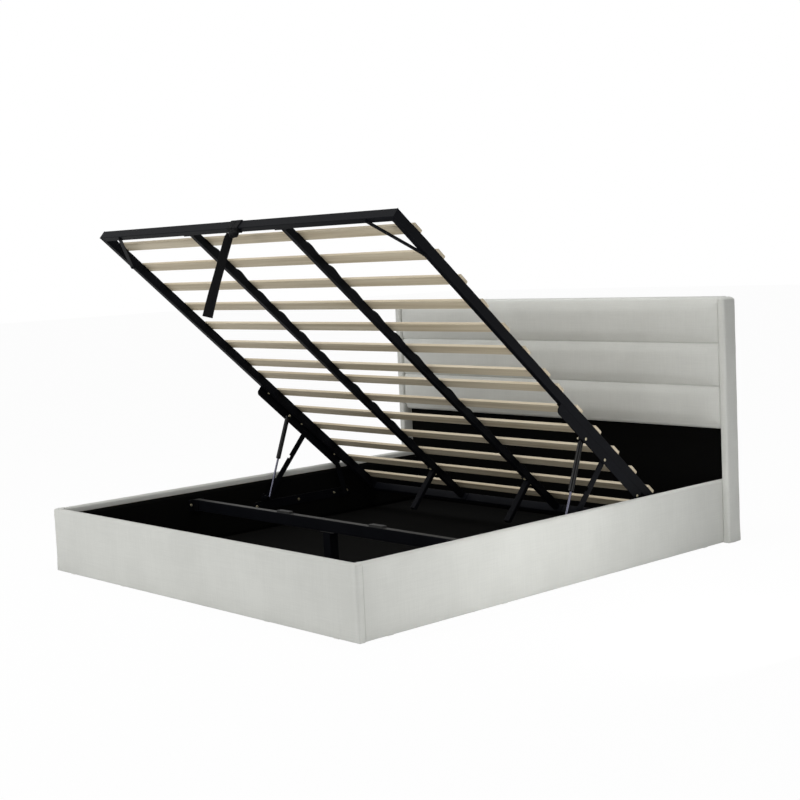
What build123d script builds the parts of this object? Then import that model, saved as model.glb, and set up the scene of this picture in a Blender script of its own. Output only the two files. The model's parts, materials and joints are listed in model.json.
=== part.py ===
"""Upholstered storage bed whose slatted frame lifts on links and gas struts.

X runs across the bed, Y from the foot end to the headboard, Z up. The origin
lies on the floor in the middle of the bed's outline. The slatted frame is
modelled raised, and it closes by turning its front links down. Lift frame
pieces are drawn closed, with the foot end of the frame at Y 0 and the top of
its tubes at Z 0, and are then moved to the raised place.
"""
from build123d import *
from math import atan2, cos, degrees, hypot, radians, sin, sqrt
import os

os.makedirs("parts", exist_ok=True)

# Mattress and box
mattress_width = 1930.0
mattress_length = 2030.0
mattress_play = 16.0
board_thickness = 22.0
cover_thickness = 4.0
box_height = 268.0
glide_height = 5.0
lip_depth = 27.0
cover_radius = 8.0
cover_foot_radius = 3.0
footboard_overhang = 6.0
bottom_thickness = 5.0
seat_gap = 0.3
cut_overrun = 10.0

# Headboard
headboard_height = 1050.0
headboard_depth = 86.0
wing_thickness = 33.0
wing_radius = 8.0
wing_top_radius = 12.0
pad_bottom_height = 485.0
pad_channels = 3
pad_top_roll = 13.0
pad_setback = 4.0
channel_crown = 15.0
pad_end_run = 34.0
pad_end_draw = 9.0
pad_corner_radius = 20.0
pad_top_wrap = 16.0

# Cross beam and its fittings
beam_setback = 690.0
beam_width = 30.0
beam_height = 50.0
tube_wall = 1.5
tube_radius = 2.5
beam_bracket_sheet = 3.0
beam_bracket_depth = 38.0
beam_bracket_flange = 24.0
beam_end_gap = 0.5
centre_leg_width = 45.0
centre_leg_plate = 3.0
centre_leg_foot_width = 50.0
rest_pad_length = 82.0
corner_bracket_leg = 60.0
corner_bracket_sheet = 3.0
corner_bracket_bottom = 70.0
corner_bracket_height = 160.0
glide_width = 26.0
glide_inset = 120.0

# Lift frame
frame_end_gap = 8.0
frame_side_gap = 15.0
frame_head_gap = 26.0
platform_recess = 21.0
side_tube_width = 25.0
side_tube_height = 38.0
inner_rail_width = 25.0
inner_rail_height = 30.0
inner_rail_offset = 300.0
rail_plate_width = 70.0
rail_plate_sheet = 3.0
beam_clearance = 1.0
brace_width = 20.0
brace_sheet = 3.0
brace_side_reach = 150.0
brace_length_reach = 200.0
frame_leg_setback = 257.0
frame_leg_width = 30.0
frame_leg_depth = 20.0
frame_leg_plate = 3.0
frame_leg_plate_length = 70.0
frame_leg_clearance = 0.6

# Slats
slats_per_half = 7
slat_width = 46.0
slat_thickness = 13.0
slat_edge_chamfer = 1.0
slat_top_radius = 4.0
slat_foot_offset = 114.0
slat_head_offset = 96.0
slat_middle_gap = 98.0
slat_setback = 2.0
webbing_thickness = 1.2
webbing_hump = 5.0
webbing_slack = 5.0

# Lift mechanism
open_tilt = 41.3
pivot_drop = 64.0
strut_pivot_setback = 704.0
front_pivot_setback = 557.0
rear_pivot_setback = 296.0
front_ground_setback = 936.8
front_ground_drop = 90.2
rear_ground_setback = 446.3
rear_ground_drop = 138.7
link_width = 27.0
link_thickness = 5.0
link_layer = 21.0
notch_clearance = 2.0
pin_radius = 5.0
pin_clearance = 0.2
pin_head_radius = 9.0
pin_end_gap = 0.3
boss_radius = 12.0
lift_angle_setback = 909.0
lift_angle_end_reach = 16.0
lift_angle_sheet = 3.5
lift_angle_depth = 40.0
lift_angle_radius = 18.0
lift_bolt_setbacks = (858.0, 603.0, 342.0)
bracket_sheet = 4.0
bracket_strip_drop = 127.0
bracket_strip_width = 42.0
bracket_ear_radius = 20.0
bracket_bolt_setbacks = (986.0, 729.0, 503.0, 417.0)
strut_layer = 38.0
strut_stud_radius = 4.0
strut_eye_radius = 9.0
strut_eye_width = 14.0
strut_radius = 11.0
strut_rod_radius = 5.0
strut_neck = 14.0
strut_overlap = 18.0
strut_cap = 7.0
strut_shoulder = 3.0

# Bolts
bolt_radius = 7.0
bolt_head = 4.0

# Pull strap
strap_place = 10.0
strap_width = 40.0
strap_thickness = 4.0
strap_length = 340.0
strap_gather_width = 24.0
strap_gather_thickness = 10.0
strap_gather_share = 0.28
strap_lean = 23.6
strap_turn = 45.0
hitch_place = 23.0
hitch_width = 74.0
hitch_thickness = 3.0
hitch_knot_width = 58.0
hitch_knot_depth = 14.0
hitch_knot_radius = 6.0

# Places worked out from the driving sizes
wall = board_thickness + 2 * cover_thickness
inner_x = mattress_width / 2
outer_x = inner_x + wall
box_top = glide_height + box_height
overall_length = wall + mattress_length + mattress_play + headboard_depth
foot_face_y = -overall_length / 2
foot_inner_y = foot_face_y + wall
wing_front_y = foot_inner_y + mattress_length + mattress_play
head_back_y = wing_front_y + headboard_depth
panel_front_y = head_back_y - board_thickness
box_head_y = panel_front_y - cover_thickness
head_top = glide_height + headboard_height
wing_inner_x = outer_x + seat_gap
floor_top = glide_height + bottom_thickness

frame_half_width = inner_x - frame_side_gap
frame_length = mattress_length + mattress_play - frame_end_gap - frame_head_gap
closed_foot_y = foot_inner_y + frame_end_gap
closed_top = box_top - platform_recess
beam_top = closed_top - side_tube_height - beam_clearance
beam_y = foot_inner_y + beam_setback
beam_bottom = beam_top - beam_height
rest_pad_height = closed_top - inner_rail_height - seat_gap - beam_top

# Places along the frame, counted from its foot end
frame_leg_place = frame_length - frame_leg_setback
strut_pivot_place = frame_length - strut_pivot_setback
front_pivot_place = frame_length - front_pivot_setback
rear_pivot_place = frame_length - rear_pivot_setback
front_ground_place = frame_length - front_ground_setback
rear_ground_place = frame_length - rear_ground_setback
lift_angle_start = frame_length - lift_angle_setback
lift_bolt_places = [frame_length - setback for setback in lift_bolt_setbacks]
bracket_bolt_places = [frame_length - setback for setback in bracket_bolt_setbacks]


def turned(point, angle):
    """Turn a (y, z) pair about the X axis by an angle in degrees."""
    turn = radians(angle)
    y, z = point
    return (y * cos(turn) - z * sin(turn), y * sin(turn) + z * cos(turn))


def closed_point(place, drop):
    """Give the (y, z) of a frame point when the frame is closed."""
    return (closed_foot_y + place, closed_top - drop)


def distance(a, b):
    return hypot(b[0] - a[0], b[1] - a[1])


def bearing(a, b):
    """Give the angle in degrees from +Y of the line from a to b."""
    return degrees(atan2(b[1] - a[1], b[0] - a[0]))


front_ground = closed_point(front_ground_place, front_ground_drop)
rear_ground = closed_point(rear_ground_place, rear_ground_drop)
front_link_length = distance(front_ground, closed_point(front_pivot_place, pivot_drop))
rear_link_length = distance(rear_ground, closed_point(rear_pivot_place, pivot_drop))


def solve_open_frame():
    """Find the raised frame's foot corner, where both links keep their length.

    The raised front pivot lies on a circle about the front ground pivot. The
    rear pivot sits a turned pivot spacing away from it, so the front pivot
    also lies on the rear link's circle moved back by that spacing.
    """
    spacing = turned((rear_pivot_place - front_pivot_place, 0), -open_tilt)
    moved_ground = (rear_ground[0] - spacing[0], rear_ground[1] - spacing[1])
    apart = distance(front_ground, moved_ground)
    along = (front_link_length**2 - rear_link_length**2 + apart**2) / (2 * apart)
    across = sqrt(front_link_length**2 - along**2)
    unit = ((moved_ground[0] - front_ground[0]) / apart, (moved_ground[1] - front_ground[1]) / apart)
    front_pivot = (
        front_ground[0] + along * unit[0] - across * unit[1],
        front_ground[1] + along * unit[1] + across * unit[0],
    )
    reach = turned((front_pivot_place, -pivot_drop), -open_tilt)
    return (front_pivot[0] - reach[0], front_pivot[1] - reach[1])


open_foot = solve_open_frame()


def open_point(place, drop):
    """Give the (y, z) of a frame point when the frame is raised."""
    shift = turned((place, -drop), -open_tilt)
    return (open_foot[0] + shift[0], open_foot[1] + shift[1])


front_pivot = open_point(front_pivot_place, pivot_drop)
rear_pivot = open_point(rear_pivot_place, pivot_drop)
strut_pivot = open_point(strut_pivot_place, pivot_drop)
frame_open = Pos(0, open_foot[0], open_foot[1]) * Rot(-open_tilt, 0, 0)


def block(x0, x1, y0, y1, z0, z1):
    """Make a box from its lowest and highest corners."""
    return Pos(x0, y0, z0) * Box(x1 - x0, y1 - y0, z1 - z0, align=(Align.MIN, Align.MIN, Align.MIN))


def left_of(shape):
    """Mirror a right-hand piece to the left side."""
    return mirror(shape, about=Plane.YZ)


def pair(shape):
    """Join a right-hand piece and its mirror image as one group."""
    return [shape, left_of(shape)]


def save(name, shapes):
    """Write one node, which holds one solid or a group of solids."""
    if not isinstance(shapes, list):
        shapes = [shapes]
    solids = [solid for shape in shapes for solid in shape.solids()]
    export_step(solids[0] if len(solids) == 1 else Compound(children=solids), f"parts/{name}.step")


def bolt(x, y, z, direction):
    """Make a hex bolt head that stands on a face along X, Y or Z."""
    head = extrude(RegularPolygon(bolt_radius, 6), bolt_head)
    axis = Plane((x, y, z), z_dir=direction)
    return axis * head


# Box

def footboard_board():
    return block(
        -outer_x - footboard_overhang + cover_thickness, outer_x + footboard_overhang - cover_thickness,
        foot_face_y + cover_thickness, foot_inner_y - cover_thickness,
        glide_height + cover_thickness, box_top - cover_thickness,
    )


def footboard_lining(overrun=0.0):
    return block(
        -inner_x, inner_x, foot_inner_y - cover_thickness, foot_inner_y + overrun,
        glide_height + lip_depth, box_top - lip_depth,
    )


def footboard_cover():
    """Padded cloth round the footboard, turned over its top and ends."""
    outer = block(
        -outer_x - footboard_overhang, outer_x + footboard_overhang,
        foot_face_y, foot_inner_y, glide_height, box_top,
    )
    outer = fillet(outer.edges().group_by(Axis.Z)[-1] + outer.edges().filter_by(Axis.Z), cover_radius)
    return outer - footboard_board() - footboard_lining(cut_overrun)


def rail_board():
    return block(
        inner_x + cover_thickness, outer_x - cover_thickness, foot_inner_y, box_head_y,
        glide_height + cover_thickness, box_top - cover_thickness,
    )


def rail_lining(overrun=0.0):
    return block(
        inner_x - overrun, inner_x + cover_thickness, foot_inner_y, box_head_y,
        glide_height + lip_depth, box_top - lip_depth,
    )


def rail_cover():
    """Padded cloth round the right rail, turned a little way down inside."""
    outer = block(inner_x, outer_x, foot_inner_y, box_head_y, glide_height, box_top)
    long_edges = outer.edges().filter_by(Axis.Y)
    outer = fillet(long_edges.group_by(Axis.Z)[-1], cover_radius)
    outer = fillet(outer.edges().filter_by(Axis.Y).group_by(Axis.Z)[0], cover_foot_radius)
    return outer - rail_board() - rail_lining(cut_overrun)


def bottom_panel():
    """Right half of the storage floor, notched round the centre leg."""
    panel = block(
        seat_gap / 2, inner_x - seat_gap, foot_inner_y + seat_gap, box_head_y - seat_gap,
        glide_height, floor_top,
    )
    notch = centre_leg_width / 2 + seat_gap
    return panel - block(-notch, notch, beam_y - notch, beam_y + notch, 0, floor_top + cut_overrun)


def corner_bracket(y_corner, towards):
    """Angle bracket in a box corner; towards is the way along Y into the box."""
    reach = towards * corner_bracket_leg
    sheet = towards * corner_bracket_sheet
    bottom = glide_height + corner_bracket_bottom
    top = bottom + corner_bracket_height
    on_rail = block(
        inner_x - corner_bracket_sheet, inner_x,
        min(y_corner, y_corner + reach), max(y_corner, y_corner + reach), bottom, top,
    )
    on_end = block(
        inner_x - corner_bracket_leg, inner_x,
        min(y_corner, y_corner + sheet), max(y_corner, y_corner + sheet), bottom, top,
    )
    return on_rail + on_end


def corner_bolts(y_corner, towards):
    """Bolts through a corner bracket, two in each leg."""
    heads = []
    quarter = corner_bracket_height / 4
    for height in (quarter, 3 * quarter):
        z = glide_height + corner_bracket_bottom + height
        y = y_corner + towards * (corner_bracket_leg - bolt_radius - bolt_head)
        heads.append(bolt(inner_x - corner_bracket_sheet, y, z, (-1, 0, 0)))
        x = inner_x - corner_bracket_leg / 2
        heads.append(bolt(x, y_corner + towards * corner_bracket_sheet, z, (0, towards, 0)))
    return heads


# Headboard

def headboard_panel():
    return block(
        -wing_inner_x, wing_inner_x, panel_front_y, head_back_y,
        glide_height, head_top - pad_top_wrap,
    )


def headboard_lining():
    """Black cloth on board behind the mattress, below the pad."""
    return block(
        -wing_inner_x, wing_inner_x, box_head_y, panel_front_y,
        glide_height, glide_height + pad_bottom_height,
    )


def headboard_wing():
    """Upholstered side of the headboard, standing outside the rail."""
    wing = block(
        wing_inner_x, wing_inner_x + wing_thickness, wing_front_y, head_back_y, glide_height, head_top,
    )
    top_edges = wing.edges().filter_by(Axis.Y).group_by(Axis.Z)[-1]
    wing = fillet(top_edges.sort_by(Axis.X)[-1], wing_top_radius)
    return fillet(wing.edges().filter_by(Axis.Z).group_by(Axis.Y)[0], wing_radius)


def pad_outline(draw):
    """Side view of the channelled pad, its crowns drawn back by draw."""
    seam_y = wing_front_y + pad_setback + channel_crown + draw
    crown_y = wing_front_y + pad_setback + 2 * draw
    bottom = glide_height + pad_bottom_height
    channel_height = (head_top - pad_top_roll - bottom) / pad_channels
    seams = [bottom + channel_height * number for number in range(1, pad_channels)]
    bottom_turn = bottom + pad_corner_radius
    top_turn = head_top - pad_corner_radius - draw
    top = head_top - draw
    lines = [
        Line((panel_front_y, bottom), (seam_y + pad_corner_radius, bottom)),
        RadiusArc((seam_y + pad_corner_radius, bottom), (seam_y, bottom_turn), pad_corner_radius),
    ]
    for low, high in zip([bottom_turn] + seams, seams + [top_turn]):
        lines.append(ThreePointArc((seam_y, low), (crown_y, (low + high) / 2), (seam_y, high)))
    lines += [
        RadiusArc((seam_y, top_turn), (seam_y + pad_corner_radius, top), pad_corner_radius),
        Line((seam_y + pad_corner_radius, top), (head_back_y, top)),
        Line((head_back_y, top), (head_back_y, head_top - pad_top_wrap)),
        Line((head_back_y, head_top - pad_top_wrap), (panel_front_y, head_top - pad_top_wrap)),
        Line((panel_front_y, head_top - pad_top_wrap), (panel_front_y, bottom)),
    ]
    return make_face(lines)


def headboard_pad():
    """Padded cloth with three channels, wrapped over the top of the headboard."""
    full_x = outer_x - pad_end_run
    middle = extrude(Plane.YZ.offset(-full_x) * pad_outline(0), 2 * full_x)
    full = Plane.YZ.offset(full_x) * pad_outline(0)
    drawn = Plane.YZ.offset(outer_x) * pad_outline(pad_end_draw)
    end = loft([full, drawn], ruled=True)
    return middle + end + left_of(end)


# Beam and centre leg

def hollow_bar(length, width, height):
    """Make a rectangular tube along X, centred in Y, its underside at Z 0."""
    outside = RectangleRounded(width, height, tube_radius)
    inside = Rectangle(width - 2 * tube_wall, height - 2 * tube_wall)
    section = Plane.YZ * Pos(0, height / 2) * (outside - inside)
    return Pos(-length / 2, 0, 0) * extrude(section, length)


def cross_beam():
    half = inner_x - beam_bracket_sheet - beam_end_gap
    return Pos(0, beam_y, beam_bottom) * hollow_bar(2 * half, beam_width, beam_height)


def beam_bracket():
    """Cup on the right rail that the end of the cross beam lies in."""
    side = beam_width / 2 + beam_end_gap
    sheet = beam_bracket_sheet
    back = block(
        inner_x - sheet, inner_x, beam_y - side - sheet - beam_bracket_flange,
        beam_y + side + sheet + beam_bracket_flange, beam_bottom - sheet, beam_top,
    )
    cup = block(
        inner_x - beam_bracket_depth, inner_x, beam_y - side - sheet, beam_y + side + sheet,
        beam_bottom - sheet, beam_top,
    )
    room = block(
        inner_x - beam_bracket_depth - cut_overrun, inner_x - sheet, beam_y - side, beam_y + side,
        beam_bottom, beam_top + cut_overrun,
    )
    return back + (cup - room)


def beam_bracket_bolts():
    offset = (beam_width + beam_bracket_flange) / 2 + beam_end_gap + beam_bracket_sheet
    x = inner_x - beam_bracket_sheet
    z = beam_bottom + beam_height / 2
    return [bolt(x, beam_y + side * offset, z, (-1, 0, 0)) for side in (-1, 1)]


def centre_leg():
    """Square tube leg with a plate that carries the middle of the beam."""
    height = beam_bottom - centre_leg_plate - glide_height
    outside = RectangleRounded(centre_leg_width, centre_leg_width, tube_radius)
    inner = centre_leg_width - 2 * tube_wall
    section = outside - Rectangle(inner, inner)
    tube = Pos(0, beam_y, glide_height) * extrude(section, height)
    plate = block(
        -centre_leg_width, centre_leg_width, beam_y - centre_leg_width / 2, beam_y + centre_leg_width / 2,
        beam_bottom - centre_leg_plate, beam_bottom,
    )
    return [tube, plate]


def rest_pad():
    """Rubber pad on the beam, under an inner rail of the closed frame."""
    return block(
        inner_rail_offset - rest_pad_length / 2, inner_rail_offset + rest_pad_length / 2,
        beam_y - beam_width / 2 + tube_radius, beam_y + beam_width / 2 - tube_radius,
        beam_top, beam_top + rest_pad_height,
    )


def floor_glides():
    """Plastic glides under the boards, the storage floor and the leg."""
    rail_x = outer_x - wall / 2
    middle_x = inner_x / 2
    wing_x = wing_inner_x + wing_thickness / 2
    wing_y = head_back_y - headboard_depth / 2
    foot_y = foot_face_y + wall / 2
    rail_ys = (foot_inner_y + glide_inset, beam_y, wing_front_y - glide_inset)
    places = [(rail_x, y) for y in rail_ys] + [(middle_x, y) for y in rail_ys]
    places += [(outer_x - glide_inset, foot_y), (middle_x, foot_y), (wing_x, wing_y)]
    glide = extrude(Rectangle(glide_width, glide_width), glide_height)
    glides = [shape for x, y in places for shape in pair(Pos(x, y, 0) * glide)]
    leg_foot = extrude(Rectangle(centre_leg_foot_width, centre_leg_foot_width), glide_height)
    return glides + [Pos(0, beam_y, 0) * leg_foot]


# Lift frame, drawn closed

def mitred_tube(length):
    """Make a frame tube along X with both ends cut at 45 degrees.

    Its long outer face lies at Y 0 and its top at Z 0.
    """
    bar = hollow_bar(length, side_tube_width, side_tube_height)
    tube = Pos(0, side_tube_width / 2, -side_tube_height) * bar
    end = length / 2
    wedge = make_face(Polyline(
        (end, 0), (end, side_tube_width), (end - side_tube_width, side_tube_width), close=True,
    ))
    cutter = Pos(0, 0, -side_tube_height - cut_overrun) * extrude(wedge, side_tube_height + 2 * cut_overrun)
    return tube - cutter - left_of(cutter)


def foot_tube():
    return mitred_tube(2 * frame_half_width)


def head_tube():
    return Pos(0, frame_length, 0) * Rot(0, 0, 180) * mitred_tube(2 * frame_half_width)


def side_tube():
    return Pos(frame_half_width, frame_length / 2, 0) * Rot(0, 0, 90) * mitred_tube(frame_length)


def inner_rail():
    """Right inner rail with a bolting plate at each end."""
    start = side_tube_width
    length = frame_length - 2 * side_tube_width
    tube_length = length - 2 * rail_plate_sheet
    tube = Rot(0, 0, 90) * hollow_bar(tube_length, inner_rail_width, inner_rail_height)
    tube = Pos(inner_rail_offset, frame_length / 2, -inner_rail_height) * tube
    near = block(
        inner_rail_offset - rail_plate_width / 2, inner_rail_offset + rail_plate_width / 2,
        start, start + rail_plate_sheet, -side_tube_height, -tube_radius,
    )
    far = Pos(0, length - rail_plate_sheet, 0) * near
    return [tube, near, far]


def brace_points():
    """Give the two bolt points of the right corner brace, as (x, y)."""
    return (
        (frame_half_width - brace_side_reach, side_tube_width / 2),
        (frame_half_width - side_tube_width / 2, brace_length_reach),
    )


def corner_brace():
    """Flat bar under the corner of the foot tube and the side tube."""
    start, end = brace_points()
    length = distance(start, end)
    bar = extrude(Pos(length / 2, 0) * SlotCenterToCenter(length, brace_width), -brace_sheet)
    return Pos(start[0], start[1], -side_tube_height) * Rot(0, 0, bearing(start, end)) * bar


def lift_angle():
    """Angle iron under the right side tube that carries the pivots."""
    outer = frame_half_width
    end = rear_pivot_place + lift_angle_end_reach
    top = -side_tube_height
    flange = block(
        outer - side_tube_width, outer, lift_angle_start, end, top - lift_angle_sheet, top,
    )
    web = block(outer - lift_angle_sheet, outer, lift_angle_start, end, top - lift_angle_depth, top)
    web = fillet(web.edges().filter_by(Axis.X).group_by(Axis.Z)[0], lift_angle_radius)
    flange = fillet(flange.edges().filter_by(Axis.Z).sort_by(Axis.X)[:2], lift_angle_radius / 2)
    return flange + web


def frame_leg():
    """Leg under the right inner rail that stands on the floor when closed."""
    top = -inner_rail_height
    foot = floor_top + frame_leg_clearance - closed_top
    outside = RectangleRounded(frame_leg_width, frame_leg_depth, tube_radius)
    inside = Rectangle(frame_leg_width - 2 * tube_wall, frame_leg_depth - 2 * tube_wall)
    tube = Pos(0, 0, foot) * extrude(outside - inside, top - frame_leg_plate - foot)
    plate = Pos(0, 0, top - frame_leg_plate) * extrude(
        RectangleRounded(frame_leg_width, frame_leg_plate_length, tube_radius), frame_leg_plate,
    )
    return Pos(inner_rail_offset, frame_leg_place, 0) * (tube + plate)


def slat_places():
    """Give the middle of each slat along the frame, in two rolls of slats."""
    room = frame_length - slat_foot_offset - slat_middle_gap - slat_head_offset
    pitch = room / (2 * (slats_per_half - 1))
    first_half = [slat_foot_offset + pitch * i for i in range(slats_per_half)]
    second_half = [first_half[-1] + slat_middle_gap + pitch * i for i in range(slats_per_half)]
    return first_half, second_half


def slat(place):
    half = frame_half_width - slat_setback
    bar = block(
        -half, half, place - slat_width / 2, place + slat_width / 2,
        webbing_thickness, webbing_thickness + slat_thickness,
    )
    bar = fillet(bar.edges().filter_by(Axis.X).group_by(Axis.Z)[-1], slat_top_radius)
    return chamfer(bar.edges().filter_by(Axis.X).group_by(Axis.Z)[0], slat_edge_chamfer)


def webbing_strip(places):
    """Tape that joins one roll's slats over an inner rail, humped up between them."""
    start = places[0] - slat_width / 2
    reach = slat_width / 2 + webbing_slack
    flats = [(place - reach, place + reach) for place in places]
    flats[0] = (start, flats[0][1])
    flats[-1] = (flats[-1][0], places[-1] + slat_width / 2)
    lines = []
    for level in (0, webbing_thickness):
        for low, high in flats:
            lines.append(Line((low, level), (high, level)))
        for (_, low), (high, _) in zip(flats, flats[1:]):
            top = ((low + high) / 2, level + webbing_hump)
            lines.append(ThreePointArc((low, level), top, (high, level)))
    for y in (flats[0][0], flats[-1][1]):
        lines.append(Line((y, 0), (y, webbing_thickness)))
    return extrude(Plane.YZ * make_face(lines), side_tube_width)


def slat_webbing():
    """Tapes of both rolls: humped over the inner rails, flat over the side tubes."""
    strips = []
    for places in slat_places():
        strips += pair(Pos(inner_rail_offset - side_tube_width / 2, 0, 0) * webbing_strip(places))
        strips += pair(block(
            frame_half_width - side_tube_width, frame_half_width,
            places[0] - slat_width / 2, places[-1] + slat_width / 2, 0, webbing_thickness,
        ))
    return strips


def frame_bolts():
    """Bolt heads under the lift angles, the corner braces and the leg plates."""
    under_angle = -side_tube_height - lift_angle_sheet
    angle_x = frame_half_width - (side_tube_width + lift_angle_sheet) / 2
    heads = [bolt(angle_x, place, under_angle, (0, 0, -1)) for place in lift_bolt_places]
    heads += [bolt(x, y, -side_tube_height - brace_sheet, (0, 0, -1)) for x, y in brace_points()]
    under_plate = -inner_rail_height - frame_leg_plate
    reach = (frame_leg_plate_length + frame_leg_depth) / 4
    for place in (frame_leg_place - reach, frame_leg_place + reach):
        heads.append(bolt(inner_rail_offset, place, under_plate, (0, 0, -1)))
    return [shape for head in heads for shape in pair(head)]


# Lift mechanism

def layer_x(depth):
    """Give the X of a plane that lies this far inside the right rail."""
    return inner_x - depth


def pin(y, z, radius, start, end):
    """Make a round pin along X between two depths inside the right rail."""
    disc = Plane.YZ.offset(layer_x(end)) * Pos(y, z) * Circle(radius)
    return extrude(disc, end - start)


def nut(y, z, radius, start, end):
    """Make a hexagonal head along X between two depths inside the right rail."""
    outline = Plane.YZ.offset(layer_x(end)) * Pos(y, z) * RegularPolygon(radius, 6)
    return extrude(outline, end - start)


link_shoulder = link_layer - pin_end_gap
link_end = link_layer + link_thickness
strut_side = strut_layer - strut_radius
strut_eye_start = strut_layer - strut_eye_width / 2
strut_eye_end = strut_layer + strut_eye_width / 2
pin_head_end = strut_eye_start - pin_end_gap


def hinge_pin(y, z, plate):
    """Shouldered pin that a link turns on, standing on a plate at this depth."""
    shoulder = pin(y, z, boss_radius, plate, link_shoulder)
    shank = pin(y, z, pin_radius, link_shoulder, link_end + pin_end_gap)
    return shoulder + shank + nut(y, z, pin_head_radius, link_end + pin_end_gap, pin_head_end)


def bracket_base():
    """Plate on the right rail that holds the ground pivots."""
    strip_z = closed_top - bracket_strip_drop
    radius = bracket_strip_width / 2
    places = [closed_foot_y + place for place in bracket_bolt_places]
    strip_length = places[-1] - places[0]
    strip = SlotCenterToCenter(strip_length, bracket_strip_width)
    strip = Pos(places[0] + strip_length / 2, strip_z) * strip
    ear = make_hull(
        (Pos(front_ground[0], front_ground[1]) * Circle(bracket_ear_radius)).edges()
        + (Pos(front_ground[0], strip_z) * Circle(radius)).edges()
    )
    outline = strip + ear + Pos(rear_ground[0], rear_ground[1]) * Circle(bracket_ear_radius)
    return extrude(Plane.YZ.offset(layer_x(bracket_sheet)) * outline, bracket_sheet)


def ground_pivots():
    """Pins of the links on the box; the front one also carries the strut."""
    y, z = front_ground
    front = hinge_pin(y, z, bracket_sheet)
    front += pin(y, z, strut_stud_radius, pin_head_end, strut_eye_end + pin_end_gap)
    front += nut(y, z, bolt_radius, strut_eye_end + pin_end_gap, strut_eye_end + bolt_head)
    rear = pin(rear_ground[0], rear_ground[1], boss_radius, bracket_sheet, link_shoulder)
    return pair(front) + pair(rear)


def bracket_bolts():
    x = layer_x(bracket_sheet)
    z = closed_top - bracket_strip_drop
    return [bolt(x, closed_foot_y + place, z, (-1, 0, 0)) for place in bracket_bolt_places]


def link(length, hole_places):
    """Flat link in its layer, with its lower pivot at Y 0 and Z 0."""
    plane = Plane.YZ.offset(layer_x(link_end))
    bar = extrude(plane * Pos(length / 2, 0) * SlotCenterToCenter(length, link_width), link_thickness)
    for place in hole_places:
        hole = plane * Pos(place, 0) * Circle(pin_radius + pin_clearance)
        bar -= extrude(hole, link_thickness)
    return bar


def raised(shape, ground, far_point):
    """Put a link or strut part on its ground pivot, towards its far pivot."""
    return Pos(0, ground[0], ground[1]) * Rot(bearing(ground, far_point), 0, 0) * shape


def front_link():
    """Front link, notched where the strut's stud passes when closed."""
    bar = link(front_link_length, (0, front_link_length))
    closed_angle = bearing(front_ground, closed_point(front_pivot_place, pivot_drop))
    stud = closed_point(strut_pivot_place, pivot_drop)
    y, z = turned((stud[0] - front_ground[0], stud[1] - front_ground[1]), -closed_angle)
    room = strut_stud_radius + notch_clearance
    cutter = block(
        layer_x(link_end) - cut_overrun, layer_x(link_layer) + cut_overrun,
        y - room - notch_clearance, y + room + notch_clearance, z - room, link_width,
    )
    return raised(bar - cutter, front_ground, front_pivot)


def rear_link():
    """Rear link, with the head of its lower rivet on its inner face."""
    bar = link(rear_link_length, (rear_link_length,))
    rivet = nut(0, 0, pin_head_radius, link_end, pin_head_end)
    return raised(bar + rivet, rear_ground, rear_pivot)


def frame_pivots():
    """Pins of the links and studs of the struts, on the lift angles."""
    web = frame_side_gap + lift_angle_sheet
    front = hinge_pin(front_pivot_place, -pivot_drop, web)
    rear = hinge_pin(rear_pivot_place, -pivot_drop, web)
    stud = pin(strut_pivot_place, -pivot_drop, strut_stud_radius, web, strut_side - pin_end_gap)
    return pair(front) + pair(rear) + pair(stud)


strut_length = distance(front_ground, strut_pivot)
strut_closed_length = distance(front_ground, closed_point(strut_pivot_place, pivot_drop))
strut_travel = strut_length - strut_closed_length
strut_cylinder_length = strut_travel + strut_overlap + strut_cap + pin_end_gap
strut_cylinder_bottom = strut_length - strut_neck - strut_cylinder_length
strut_rod_length = strut_cylinder_bottom + strut_overlap


def turned_body(points):
    """Revolve a side view, given as (y, radius) points, about the Y axis."""
    return revolve(Plane.YZ * make_face(Polyline(*points, close=True)), Axis.Y)


def strut_cylinder():
    """Gas strut's cylinder, with the eye and nut at its upper end."""
    bottom = strut_cylinder_bottom
    top = bottom + strut_cylinder_length
    rod_room = strut_rod_radius + pin_clearance
    shell = turned_body([
        (bottom, rod_room), (bottom, strut_radius - strut_shoulder),
        (bottom + strut_shoulder, strut_radius), (top, strut_radius),
        (top, strut_rod_radius), (strut_length, strut_rod_radius), (strut_length, 0),
        (top - strut_cap, 0), (top - strut_cap, rod_room),
    ])
    eye = pin(strut_length, 0, strut_eye_radius, strut_eye_start, strut_eye_end)
    spacer = pin(strut_length, 0, bolt_radius, strut_side, strut_eye_start)
    head = nut(strut_length, 0, bolt_radius, strut_eye_end, strut_eye_end + bolt_head)
    body = Pos(layer_x(strut_layer), 0, 0) * shell
    return raised(body + eye + spacer + head, front_ground, strut_pivot)


def strut_rod():
    """Gas strut's rod, with the eye at its lower end."""
    rod = Plane.XZ * Circle(strut_rod_radius)
    rod = Pos(layer_x(strut_layer), 0, 0) * extrude(rod, -strut_rod_length)
    eye = pin(0, 0, strut_eye_radius, strut_eye_start, strut_eye_end)
    hole = pin(0, 0, strut_stud_radius + pin_clearance, strut_eye_start, strut_eye_end)
    return raised(rod + eye - hole, front_ground, strut_pivot)


# Pull strap

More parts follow.
